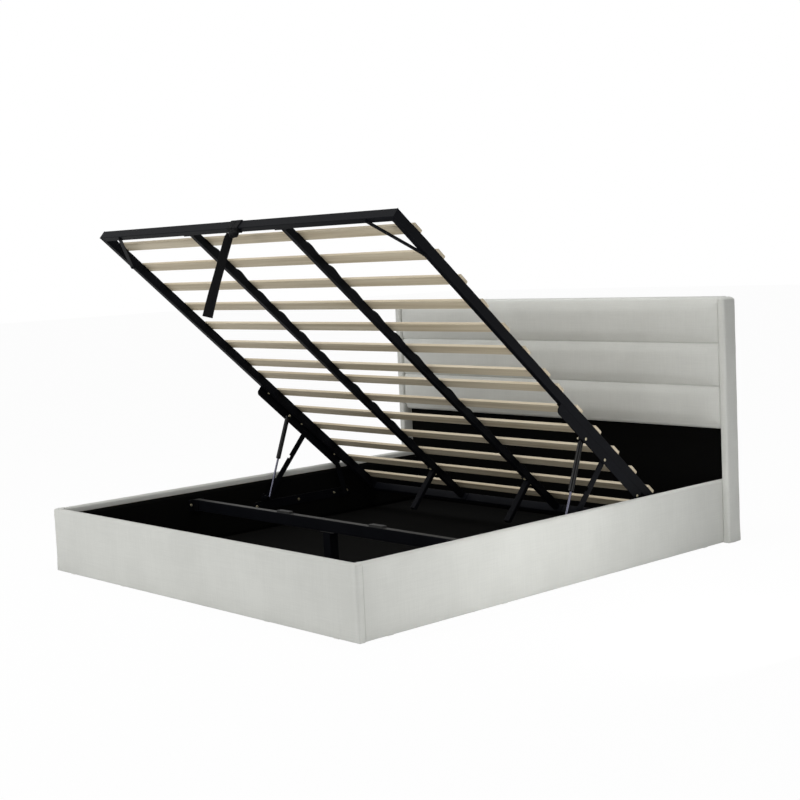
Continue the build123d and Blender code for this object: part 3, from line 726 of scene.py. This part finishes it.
def pad_profile(low, high, panel_y):
    """Give the pad's side view as (y, z, held) rows, its seams and their depth."""
    seam_y = low.y + PAD_CROWN
    bottom, top = low.z, high.z
    channel = (top - PAD_TOP_ROLL - bottom) / PAD_CHANNELS
    seams = [bottom + channel * count for count in range(1, PAD_CHANNELS)]
    quarter = [math.pi / 2 * k / CORNER_STEPS for k in range(CORNER_STEPS + 1)]

    def corner(angle):
        return PAD_CORNER * (1 - math.sin(angle)), PAD_CORNER * (1 - math.cos(angle))

    rows = []
    for angle in quarter:
        inward, upward = corner(angle)
        rows.append((seam_y + inward, bottom + upward, LOW_HOLD))
    edges = [bottom + PAD_CORNER] + seams + [top - PAD_CORNER]
    for start, end in zip(edges, edges[1:]):
        count = round((end - start) / PAD_STEP)
        places = [start + (end - start) * k / count for k in range(1, count)]
        places += [start + step for step in SEAM_STEPS] + [end - step for step in SEAM_STEPS]
        for z in sorted(places):
            arch = math.sin(math.pi * (z - start) / (end - start)) ** PAD_CROWN_POWER
            rows.append((seam_y - PAD_START_CROWN * arch, z, FREE))
        rows.append((seam_y, end, FIXED if end in seams else FREE))
    for angle in quarter[1:]:
        downward, inward = corner(angle)
        rows.append((seam_y + inward, top - downward, TOP_HOLD))
    front_y, wrap_z = seam_y + PAD_CORNER, top - PAD_TOP_WRAP
    rows += [(y, top, FIXED) for y in np.linspace(front_y, high.y, TOP_ROWS)[1:]]
    rows += [(high.y, wrap_z, FIXED), (panel_y, wrap_z, FIXED)]
    rows += [(panel_y, z, FIXED) for z in np.linspace(wrap_z, bottom, BACK_ROWS)[1:]]
    rows += [(y, bottom, FIXED) for y in np.linspace(panel_y, front_y, UNDER_ROWS)[1:-1]]
    return rows, seams, seam_y


def inflate(made, held):
    """Fill a closed mesh with air by a cloth simulation, its held points fixed."""
    group = made.vertex_groups.new(name="held")
    for index, weight in enumerate(held):
        group.add([index], float(weight), "REPLACE")
    cloth = made.modifiers.new("fill", "CLOTH")
    settings = cloth.settings
    settings.quality = 6
    settings.mass = 0.25
    settings.tension_stiffness = settings.compression_stiffness = 12
    settings.shear_stiffness = 4
    settings.bending_stiffness = 0.8
    settings.use_pressure = True
    settings.uniform_pressure_force = PAD_PRESSURE
    settings.vertex_group_mass = "held"
    settings.effector_weights.gravity = 0
    cloth.collision_settings.use_collision = False
    cloth.collision_settings.use_self_collision = False
    for number in range(1, PAD_FRAMES + 1):
        scene.frame_set(number)
    shape = made.evaluated_get(bpy.context.evaluated_depsgraph_get()).to_mesh()
    before, after = places_of(made.data), places_of(shape)
    made.modifiers.remove(cloth)
    move = after - before
    length = np.linalg.norm(move, axis=1, keepdims=True)
    set_places(made, before + move * np.minimum(1, PAD_CAP / np.maximum(length, 1e-9)))
    scene.frame_set(1)


def tuck_seams(made, seams, front_y):
    """Pull the channel seams in and keep the crowns behind the wings' front."""
    points = places_of(made.data)
    x, y, z = points.T
    front = smooth((front_y + TUCK_FRONT - y) / TUCK_EASE)
    pucker = 1 + TUCK_PUCKER * np.sin(x * TUCK_WAVE + 2 * np.sin(x * TUCK_DRIFT))
    for seam in seams:
        y += TUCK_DEPTH * bell((z - seam) / TUCK_WIDTH) * front * pucker
    points[:, 1] = np.where(front > 0, np.maximum(y, front_y - FRONT_LIMIT), y)
    set_places(made, points)


def headboard_pad():
    """The pad between the wings, filled channel by channel."""
    low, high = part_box("headboard_pad")
    panel_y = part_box("headboard_panel")[0].y
    rows, seams, seam_y = pad_profile(low, high, panel_y)
    end_x = high.x
    rings, held = [], []
    for x in grid_lines(-end_x, end_x, PAD_STEP, fine=PAD_END_STEP, reach=PAD_END_LINES):
        inward = max(0, abs(x) - end_x + PAD_END_RUN) / PAD_END_RUN
        draw = PAD_END_DRAW * (1 - math.sqrt(max(0, 1 - inward ** PAD_END_BEND)))
        end_hold = float(smooth(inward * PAD_END_HOLD))
        ring = []
        for y, z, hold in rows:
            front = smooth((panel_y - y) / (panel_y - seam_y))
            near_top = smooth((z - high.z) / PAD_TOP_RUN + 1)
            ring.append((x, y + draw * front, z - draw * near_top))
            held.append(max(hold, end_hold))
        rings.append(ring)
    made = piece(
        "headboard_cushion", "base", "light_fabric", skin(rings),
        replaced=["headboard_pad"], smooth_angle=None,
    )
    inflate(made, held)
    tuck_seams(made, seams, low.y)


headboard_pad()


# Linings and the cloth on the back

SHEET_STEP = 0.02
SHEET_RISE = 0.0006
SHEET_THICKNESS = 0.0005
TUFT_DEPTH = 0.0004
TUFT_REACH = 0.02
TUFT_WAVE = 105
RAIL_BULGE = 0.0006
HEADBOARD_BULGE = 0.0012
BACK_BULGE = 0.0008


def stretched_sheet(name, corner, across, along, bulge, replaced=()):
    """Black cloth stretched over a board, from a corner and two edge vectors."""
    corner, across, along = (np.array(value, float) for value in (corner, across, along))
    wide, long = np.linalg.norm(across), np.linalg.norm(along)
    out = np.cross(across, along)
    out /= np.linalg.norm(out)
    columns, rows = max(2, round(wide / SHEET_STEP)), max(2, round(long / SHEET_STEP))
    points, faces = [], []
    for i in range(columns + 1):
        for j in range(rows + 1):
            u, v = i / columns, j / rows
            point = corner + across * u + along * v
            edge = min(min(u, 1 - u) * wide, min(v, 1 - v) * long)
            pull = math.sin((u * wide + v * long) * TUFT_WAVE) ** 2
            tuft = TUFT_DEPTH * math.exp(-edge / TUFT_REACH) * pull
            wave = float(ripple(point[None, :], CLOTH_WAVES, 1.0)[0])
            points.append(point + out * (SHEET_RISE + bulge * (0.5 + 0.5 * wave) - tuft))
    for i in range(columns):
        for j in range(rows):
            a = i * (rows + 1) + j
            faces.append((a, a + rows + 1, a + rows + 2, a + 1))
    made = piece(name, "base", "black_lining", (points, faces), replaced=replaced)
    skin_on = made.modifiers.new("thickness", "SOLIDIFY")
    skin_on.thickness = SHEET_THICKNESS
    skin_on.offset = 0
    return made


def linings():
    """The linings of the box, behind the mattress and on the headboard's back."""
    rail_low, rail_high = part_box("side_rail_cover_right")
    up = (0, 0, rail_high.z - LIP_DEPTH - STORAGE_FLOOR)
    foot_y, head_y, x = rail_low.y, rail_high.y, rail_low.x
    foot = stretched_sheet(
        "foot_lining", (-x, foot_y, STORAGE_FLOOR), (2 * x, 0, 0), up, 0.0,
        ["box_lining"],
    )
    foot.data.flip_normals()
    for side, name, start, end in ((1, "right", head_y, foot_y), (-1, "left", foot_y, head_y)):
        stretched_sheet(
            f"rail_lining_{name}", (side * x, start, STORAGE_FLOOR), (0, end - start, 0), up,
            RAIL_BULGE, ["box_lining"],
        )
    low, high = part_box("headboard_lining")
    stretched_sheet(
        "headboard_inner_lining", low, (high.x - low.x, 0, 0), (0, 0, high.z - low.z),
        HEADBOARD_BULGE, ["headboard_lining"],
    )
    low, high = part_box("headboard_panel")
    stretched_sheet(
        "headboard_back_cloth", (high.x, high.y, low.z), (low.x - high.x, 0, 0),
        (0, 0, high.z - low.z), BACK_BULGE, (),
    )


STRIP_WIDTH = 0.024
STRIP_THICKNESS = 0.0006
STRIP_GAP = 0.0003
STRIP_LEG_GAP = 0.004


def floor_joint_strip():
    """Black strip glued under the joint of the storage floor's two halves."""
    low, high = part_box("bottom_panels")
    leg_low, leg_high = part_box("centre_leg")
    z = low.z - STRIP_GAP - STRIP_THICKNESS / 2
    parts = []
    for start, end in ((low.y, leg_low.y - STRIP_LEG_GAP), (leg_high.y + STRIP_LEG_GAP, high.y)):
        path = [(0.0, y, z) for y in np.linspace(start, end, 40)]
        parts.append(ribbon(path, (1, 0, 0), STRIP_WIDTH, STRIP_THICKNESS))
    piece("storage_floor_joint_strip", "base", "black_lining", joined(parts))


STAPLE_LENGTH = 0.010
STAPLE_WIDTH = 0.0011
STAPLE_THICKNESS = 0.0006
STAPLE_INSET = 0.013
STAPLE_PITCH = 0.060
STAPLE_RISE = 0.0014
STAPLE_SINK = -0.002
STAPLE_CROWN_SHARE = 0.44


def staple(place, way):
    """A flat wire staple in the headboard's back, its crown along way."""
    place, way = np.array(place, float), np.array(way, float)
    half = [(0.5, STAPLE_SINK), (0.5, 0.0), (STAPLE_CROWN_SHARE, STAPLE_RISE)]
    steps = [(-share, out) for share, out in half] + half[::-1]
    path = [place + way * STAPLE_LENGTH * share + np.array((0, out, 0)) for share, out in steps]
    return ribbon(path, np.cross(way, (0, 1.0, 0)), STAPLE_WIDTH, STAPLE_THICKNESS)


def back_staples():
    """The staples along all four edges of the cloth on the headboard's back."""
    low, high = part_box("headboard_panel")
    x, bottom, top = high.x - STAPLE_INSET, low.z + STAPLE_INSET, high.z - STAPLE_INSET
    parts = []
    for place in np.linspace(-x, x, round(2 * x / STAPLE_PITCH) + 1):
        parts += [staple((place, high.y, z), (1, 0, 0)) for z in (bottom, top)]
    for place in np.linspace(bottom, top, round((top - bottom) / STAPLE_PITCH) + 1)[1:-1]:
        parts += [staple((end * x, high.y, place), (0, 0, 1)) for end in (-1, 1)]
    piece("headboard_back_staples", "base", "zinc_steel", joined(parts))


linings()
floor_joint_strip()
back_staples()


# Slat tapes and the pull strap

TAPE_STEP = 0.0035
TAPE_SLACK = 0.005
INNER_HUMP = 0.0045
OUTER_HUMP = 0.0005
HUMP_SKEW = 0.6
HUMP_POWER = 1.5
HUMP_SWAY = 0.2, 5
HUMP_SHARES = (1.0, 0.8, 1.15, 0.9, 1.1, 0.75, 1.05)


def slat_rolls():
    """Give the places of the slats' middles in the foot's and the head's roll."""
    room = LIFT_LENGTH - SLAT_FOOT_OFFSET - SLAT_MIDDLE_GAP - SLAT_HEAD_OFFSET
    pitch = room / (2 * (SLATS_PER_HALF - 1))
    first = [SLAT_FOOT_OFFSET + pitch * count for count in range(SLATS_PER_HALF)]
    return first, [first[-1] + SLAT_MIDDLE_GAP + pitch * count for count in range(SLATS_PER_HALF)]


def tape_path(x, places, hump):
    """Give the line of one tape, which humps up between its slats."""
    reach = SLAT_WIDTH / 2 + TAPE_SLACK
    start, end = places[0] - SLAT_WIDTH / 2, places[-1] + SLAT_WIDTH / 2
    path = []
    for s in np.arange(start, end + 0.001, TAPE_STEP):
        rise = 0.0
        for number, (low, high) in enumerate(zip(places, places[1:])):
            share = (s - low - reach) / (high - low - 2 * reach)
            if 0 < share < 1:
                size = hump * HUMP_SHARES[(number + round(abs(x) * 10)) % len(HUMP_SHARES)]
                arch = math.sin(math.pi * share ** HUMP_SKEW) ** HUMP_POWER
                rise = size * arch * (1 + HUMP_SWAY[0] * math.sin(HUMP_SWAY[1] * share))
        path.append((x, s, TAPE_THICKNESS / 2 + rise))
    return path


def slat_tapes():
    """The tapes on the slats, over the inner rails and the side tubes."""
    parts = []
    for places in slat_rolls():
        for side in (1, -1):
            inner = tape_path(side * INNER_RAIL_X, places, INNER_HUMP)
            outer = tape_path(side * (LIFT_HALF_WIDTH - TUBE_WIDTH / 2), places, OUTER_HUMP)
            for path in (inner, outer):
                parts.append(ribbon(path, (1, 0, 0), TUBE_WIDTH, TAPE_THICKNESS))
    piece("slat_tapes", "lift_frame", "black_webbing", joined(parts), LIFT_PLACE, ["slat_webbing"])


HITCH_X = 0.023
HITCH_TURN_WIDTH = 0.034
HITCH_TURN_OFFSET = 0.0175
HITCH_THICKNESS = 0.003
HITCH_GAP = 0.0004
HITCH_CORNER = 0.004
HITCH_STRAY = 0.0008
HITCH_LAP = 0.0002

KNOT_X = 0.034
KNOT_S = 0.0125
KNOT_HALF_LENGTH = 0.029
KNOT_REACH = 0.0155
KNOT_DROP = 0.0165
KNOT_GAP = 0.0010
KNOT_WAVE = 0.0008, 260
KNOT_END_POWER = 0.55
KNOT_CREASE = 0.10
KNOT_FINE_CREASE = 0.05


def rounded_loop(half_s, half_n, radius, count=7):
    """Give a rounded rectangle round the foot tube's middle, as (s, n) rows."""
    middle_s, middle_n = TUBE_WIDTH / 2, -TUBE_HEIGHT / 2
    rows = []
    for quarter, (sign_s, sign_n) in enumerate(((1, 1), (-1, 1), (-1, -1), (1, -1))):
        for k in range(count):
            angle = math.pi / 2 * (quarter + k / (count - 1))
            s = middle_s + sign_s * (half_s - radius) + radius * math.cos(angle)
            n = middle_n + sign_n * (half_n - radius) + radius * math.sin(angle)
            rows.append((s, n))
    return rows


def hitch_turn(side, more):
    """One turn of webbing round the foot tube."""
    out = HITCH_GAP + HITCH_THICKNESS / 2 + more
    loop = rounded_loop(TUBE_WIDTH / 2 + out, TUBE_HEIGHT / 2 + out, HITCH_CORNER)
    x = HITCH_X + side * HITCH_TURN_OFFSET
    path = [(x + side * HITCH_STRAY * math.sin(3 * k), s, n) for k, (s, n) in enumerate(loop)]
    return ribbon(path, (1, 0, 0), HITCH_TURN_WIDTH, HITCH_THICKNESS, closed=True)


def hitch_knot():
    """The creased loop of webbing that holds the turns together."""
    rings = []
    for share in np.linspace(0, 1, 41):
        x = KNOT_X + KNOT_HALF_LENGTH * (2 * share - 1)
        end = math.sin(math.pi * share) ** KNOT_END_POWER
        drop = KNOT_DROP + KNOT_WAVE[0] * math.sin(x * KNOT_WAVE[1])
        ring = []
        for k in range(28):
            angle = 2 * math.pi * k / 28
            crease = 1 - KNOT_CREASE * math.cos(3 * angle + share * 5) * end
            crease -= KNOT_FINE_CREASE * math.cos(7 * angle - share * 9)
            s = KNOT_S + KNOT_REACH * end * crease * math.cos(angle)
            n = -TUBE_HEIGHT - KNOT_GAP - drop + drop * end * crease * math.sin(angle)
            ring.append((x, s, n))
        rings.append(ring)
    return skin(rings)


def strap_hitch():
    """Two turns of webbing round the foot tube, and the loop that holds them."""
    parts = [hitch_turn(-1, 0.0), hitch_turn(1, HITCH_LAP), hitch_knot()]
    mesh = joined(parts)
    piece("strap_hitch_webbing", "lift_frame", "black_webbing", mesh, LIFT_PLACE, ["strap_hitch"])


STRAP_PIVOT = (0.010, -0.797946, 1.402376)
STRAP_LEAN = math.radians(23.6)
STRAP_TURN = math.radians(45)
STRAP_PLACE = (
    Matrix.Translation(STRAP_PIVOT)
    @ Matrix.Rotation(-STRAP_LEAN, 4, "X")
    @ Matrix.Rotation(STRAP_TURN, 4, "Z")
)
STRAP_LENGTH = 0.340
STRAP_LAYER = 0.0018
STRAP_LAYER_SHARE = 0.62
STRAP_START = -0.006
STRAP_FOLD = 0.003
STRAP_FOLD_DROP = 0.0008
STRAP_STEP = 0.004
STRAP_BEND = 0.0022
STRAP_BEND_WAVE = 19
STRAP_BEND_RUN = 0.05
STRAP_DRIFT = 0.008
STRAP_CURL = 0.10
STRAP_CURL_WAVE = 14
STRAP_CURL_START = 0.6
STRAP_WIDTHS = ((0.0, 0.027), (0.01, 0.034), (0.19, 0.035), (0.24, 0.039), (0.35, 0.042))


def pull_strap():
    """Doubled webbing: down the front, folded at the end and up the back."""
    offset = STRAP_LAYER * STRAP_LAYER_SHARE
    down = list(np.arange(STRAP_START, STRAP_LENGTH - STRAP_FOLD, STRAP_STEP))
    path = [(0, -offset, -z) for z in down]
    for k in range(1, 6):
        angle = math.pi * k / 6
        z = -down[-1] - offset * math.sin(angle) - STRAP_FOLD_DROP
        path.append((0, -offset * math.cos(angle), z))
    path += [(0, offset, -z) for z in reversed(down)]
    path = np.array(path)
    drop = -path[:, 2]
    path[:, 1] += STRAP_BEND * np.sin(drop * STRAP_BEND_WAVE) * smooth(drop / STRAP_BEND_RUN)
    path[:, 0] += STRAP_DRIFT * np.square(drop / STRAP_LENGTH)
    widths = np.interp(drop, *zip(*STRAP_WIDTHS))
    turns = STRAP_CURL * np.sin(drop * STRAP_CURL_WAVE + STRAP_CURL_START)
    sides = [(math.cos(turn), math.sin(turn), 0) for turn in turns]
    mesh = ribbon(path, sides, widths, STRAP_LAYER)
    piece("pull_strap_webbing", "pull_strap", "black_webbing", mesh, STRAP_PLACE, ["pull_strap"])


slat_tapes()
strap_hitch()
pull_strap()


# Tubes of the frame, with rolled corners and mitred ends

TUBE_ROLL = 0.0022
BEAD_RADIUS = 0.0016
BEAD_STEP = 0.0009
BEAD_DROP = 0.0006
BEAD_MEAN_SHARE = 0.85
BEAD_WAVE_SHARE = 0.2
BEAD_END_SHARE = 0.5
BEAD_WAVE = 1.6


def bead(start, end):
    """A weld bead between two points, in small overlapping waves."""
    start, end = np.array(start, float), np.array(end, float)
    way = (end - start) / np.linalg.norm(end - start)
    side = np.cross(way, (0, 0, 1.0)) if abs(way[2]) < 0.9 else np.cross(way, (1.0, 0, 0))
    side /= np.linalg.norm(side)
    up = np.cross(side, way)
    spokes = [side * math.cos(t) + up * math.sin(t) for t in np.arange(8) * math.pi / 4]
    count = max(8, round(float(np.linalg.norm(end - start)) / BEAD_STEP))
    rings = []
    for k in range(count + 1):
        radius = BEAD_RADIUS * (BEAD_MEAN_SHARE + BEAD_WAVE_SHARE * math.sin(k * BEAD_WAVE))
        if k in (0, count):
            radius *= BEAD_END_SHARE
        middle = start + (end - start) * k / count
        rings.append([middle + radius * spoke for spoke in spokes])
    return skin(rings)


def mitre(side, head):
    """Give the mitred section at one corner of the frame."""
    loop = rounded_loop(TUBE_WIDTH / 2, TUBE_HEIGHT / 2, TUBE_ROLL)
    return [(side * (LIFT_HALF_WIDTH - s), LIFT_LENGTH - s if head else s, n) for s, n in loop]


def frame_tubes():
    """The four tubes round the frame, each between the mitres of two corners."""
    for node, first, last in (
        ("foot_tube", (-1, False), (1, False)),
        ("head_tube", (-1, True), (1, True)),
        ("side_tube_right", (1, False), (1, True)),
        ("side_tube_left", (-1, False), (-1, True)),
    ):
        mesh = skin([mitre(*first), mitre(*last)])
        made = piece(f"rolled_{node}", "lift_frame", "black_steel", mesh, LIFT_PLACE, [node])
        made.modifiers.new("normals", "WEIGHTED_NORMAL").keep_sharp = True


def corner_beads():
    """The welds along the mitres, above, below and inside each corner."""
    parts = []
    for side in (1, -1):
        for edge, turn in ((0.0, 1), (LIFT_LENGTH, -1)):
            outer = side * LIFT_HALF_WIDTH, edge
            inner = side * (LIFT_HALF_WIDTH - TUBE_WIDTH), edge + turn * TUBE_WIDTH
            for n in (-TUBE_HEIGHT + BEAD_DROP, -BEAD_DROP):
                parts.append(bead((*outer, n), (*inner, n)))
            parts.append(bead((*inner, -TUBE_HEIGHT), (*inner, 0.0)))
    piece("corner_weld_beads", "lift_frame", "black_steel", joined(parts), LIFT_PLACE)


frame_tubes()
corner_beads()


# Bolts, rivets and small fittings

BOLT_HEAD = 0.004
BOLT_SPACE = 0.0192
SIDE_REACH = 0.012
BRACE_REACH = 0.35
BOLT_PROFILE = (
    (0.0070, 0.0), (0.0070, 0.0009), (0.0067, 0.0012), (0.0056, 0.0012),
    (0.0055, 0.0014, 1), (0.0055, 0.0037, 1), (0.0047, 0.0042), (0.0030, 0.0042),
    (0.0027, 0.0039), (0.0027, 0.0024), (0.0004, 0.0020),
)
DOME_PROFILE = (
    (0.0062, 0.0), (0.0062, 0.0006), (0.0058, 0.0014),
    (0.0046, 0.0022), (0.0030, 0.0027), (0.0012, 0.0029),
)


def middles(node):
    """Give the middle of each separate solid of a small-parts node."""
    found = []
    for point in places_of(nodes[node].data):
        for group in found:
            if np.linalg.norm(point - group[0]) < BOLT_SPACE:
                group.append(point)
                break
        else:
            found.append([point])
    return [Vector((np.min(group, axis=0) + np.max(group, axis=0)) / 2) for group in found]


def bolt(middle, axis):
    """A hexagon-socket bolt's head, centred on its plain solid."""
    return lathe(BOLT_PROFILE, middle - axis * BOLT_HEAD / 2, axis, 24)


def base_bolts():
    """The bolts in the box, which face its middle."""
    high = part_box("base_bolts")[1]
    parts = []
    for middle in middles("base_bolts"):
        if abs(abs(middle.x) - high.x) < SIDE_REACH:
            axis = Vector((-math.copysign(1, middle.x), 0, 0))
        else:
            axis = Vector((0, -math.copysign(1, middle.y), 0))
        parts.append(bolt(middle, axis))
    piece("base_bolt_heads", "base", "zinc_steel", joined(parts), replaced=["base_bolts"])


def frame_bolts():
    """Plated bolts under the lift angles and legs, and black ones in the corner braces."""
    down = LIFT_PLACE.to_3x3() @ Vector((0, 0, -1))
    flat = LIFT_PLACE.inverted()
    plated, black = [], []
    for middle in middles("frame_bolts"):
        kind = black if (flat @ middle).y < BRACE_REACH else plated
        kind.append(bolt(middle, down))
    piece("frame_bolt_heads", "lift_frame", "zinc_steel", joined(plated), replaced=["frame_bolts"])
    piece("brace_bolt_heads", "lift_frame", "black_steel", joined(black), replaced=["frame_bolts"])


PIVOT_PLACES = (1.308, 1.455, 1.716)
PIVOT_DROP = 0.064
STRUT_INNER_X = 0.916
STUD_PROFILE = (
    (0.0062, 0.0, 1), (0.0062, 0.0048, 1), (0.0052, 0.0054), (0.0036, 0.0054),
    (0.0036, 0.0092), (0.0030, 0.0098), (0.0004, 0.0098),
)


def angle_rivets():
    """Domed ends of the pivots on the lift angles, and the nuts on the struts' studs."""
    domes, nuts = [], []
    for side in (1, -1):
        for s in PIVOT_PLACES:
            place = (side * LIFT_HALF_WIDTH, s, -PIVOT_DROP)
            domes.append(lathe(DOME_PROFILE, place, (side, 0, 0)))
        place = (side * STRUT_INNER_X, PIVOT_PLACES[0], -PIVOT_DROP)
        nuts.append(lathe(STUD_PROFILE, place, (-side, 0, 0), 24))
    parts = domes + nuts
    piece("angle_rivets", "lift_frame", "zinc_steel", joined(parts), LIFT_PLACE)


base_bolts()
frame_bolts()
angle_rivets()


# Stage, light and camera

CAMERA_PLACE = (4.73905, -4.25396, 1.30115)
CAMERA_AZIMUTH = math.radians(47.647)
CAMERA_RISE = math.radians(5.616)
CAMERA_ROLL = -0.04678
CAMERA_LENS = 67.06
CAMERA_SENSOR = 36.0
FLOOR_HALF = 30.0
FLOOR_COLOUR = (0.92, 0.92, 0.92, 1)
FLOOR_WHITE = 0.97
WHITE = (1, 1, 1, 1)
WORLD_LIGHT = 0.26
# The name, place, target, size and power of each lamp
LAMPS = (
    ("key", (2.1, -0.2, 0.42), (0.9, -0.2, 0.14), 0.9, 7.0),
    ("front", (-1.2, -4.6, 2.3), (-0.2, -1.0, 0.3), 2.6, 79),
    ("fill", (4.2, -4.2, 0.9), (0.5, 0.9, 0.6), 1.6, 33),
    ("top", (0.0, 0.2, 4.5), (0.0, 0.2, 0.4), 3.0, 96),
)


def camera():
    """The camera at the place from which the bed was photographed."""
    data = bpy.data.cameras.new("camera")
    data.sensor_width = CAMERA_SENSOR
    data.lens = CAMERA_LENS
    data.clip_start, data.clip_end = 0.1, 100.0
    made = bpy.data.objects.new("camera", data)
    a, e, r = CAMERA_AZIMUTH, CAMERA_RISE, CAMERA_ROLL
    back = Vector((math.sin(a) * math.cos(e), -math.cos(a) * math.cos(e), math.sin(e)))
    level = Vector((math.cos(a), math.sin(a), 0))
    up = back.cross(level)
    right = level * math.cos(r) + up * math.sin(r)
    over = up * math.cos(r) - level * math.sin(r)
    turn = Matrix((right, over, back)).transposed().to_4x4()
    made.matrix_world = Matrix.Translation(CAMERA_PLACE) @ turn
    scene.collection.objects.link(made)
    scene.camera = made


def seen_directly(tree):
    """Give 1 for rays from the camera and for those seen in metal or glass."""
    path = tree.nodes.new("ShaderNodeLightPath")
    total = path.outputs["Is Camera Ray"]
    for name in ("Is Glossy Ray", "Is Transmission Ray"):
        add = tree.nodes.new("ShaderNodeMath")
        add.operation = "MAXIMUM"
        tree.links.new(total, add.inputs[0])
        tree.links.new(path.outputs[name], add.inputs[1])
        total = add.outputs[0]
    return total


def mix_shaders(tree, share, plain, white, target):
    """Blend from a plain shader to a white one, into a socket."""
    mix = tree.nodes.new("ShaderNodeMixShader")
    for source, socket in zip((share, plain, white), mix.inputs):
        tree.links.new(source, socket)
    tree.links.new(mix.outputs[0], target)


def floor():
    """A pale floor that shows as white but for the bed's shadow."""
    made = bpy.data.materials.new("floor")
    made.use_nodes = True
    tree = made.node_tree
    tree.nodes.clear()
    share = tree.nodes.new("ShaderNodeMath")
    share.operation = "MULTIPLY"
    share.inputs[1].default_value = FLOOR_WHITE
    tree.links.new(seen_directly(tree), share.inputs[0])
    pale = tree.nodes.new("ShaderNodeBsdfDiffuse")
    pale.inputs["Color"].default_value = FLOOR_COLOUR
    white = tree.nodes.new("ShaderNodeEmission")
    out = tree.nodes.new("ShaderNodeOutputMaterial")
    mix_shaders(tree, share.outputs[0], pale.outputs[0], white.outputs[0], out.inputs[0])
    corners = [(x * FLOOR_HALF, y * FLOOR_HALF, 0) for x, y in ((-1, -1), (1, -1), (1, 1), (-1, 1))]
    data = bpy.data.meshes.new("floor")
    data.from_pydata(corners, [], [(0, 1, 2, 3)])
    data.materials.append(made)
    plane = bpy.data.objects.new("floor", data)
    scene.collection.objects.link(plane)


def world():
    """Even light from all round, seen as white."""
    made = bpy.data.worlds.new("world")
    made.use_nodes = True
    tree = made.node_tree
    plain = tree.nodes["Background"]
    plain.inputs["Color"].default_value = WHITE
    plain.inputs["Strength"].default_value = WORLD_LIGHT
    white = tree.nodes.new("ShaderNodeBackground")
    white.inputs["Color"].default_value = WHITE
    target = tree.nodes["World Output"].inputs[0]
    mix_shaders(tree, seen_directly(tree), plain.outputs[0], white.outputs[0], target)
    scene.world = made


def lamp(name, place, target, size, power):
    """A round soft lamp that lights a target and isn't seen."""
    data = bpy.data.lights.new(name, "AREA")
    data.shape = "DISK"
    data.size = size
    data.energy = power
    made = bpy.data.objects.new(name, data)
    aim = (Vector(target) - Vector(place)).to_track_quat("-Z", "Y")
    made.matrix_world = Matrix.Translation(place) @ aim.to_matrix().to_4x4()
    made.visible_camera = False
    scene.collection.objects.link(made)


camera()
floor()
world()
for row in LAMPS:
    lamp(*row)
scene.view_settings.view_transform = "Standard"
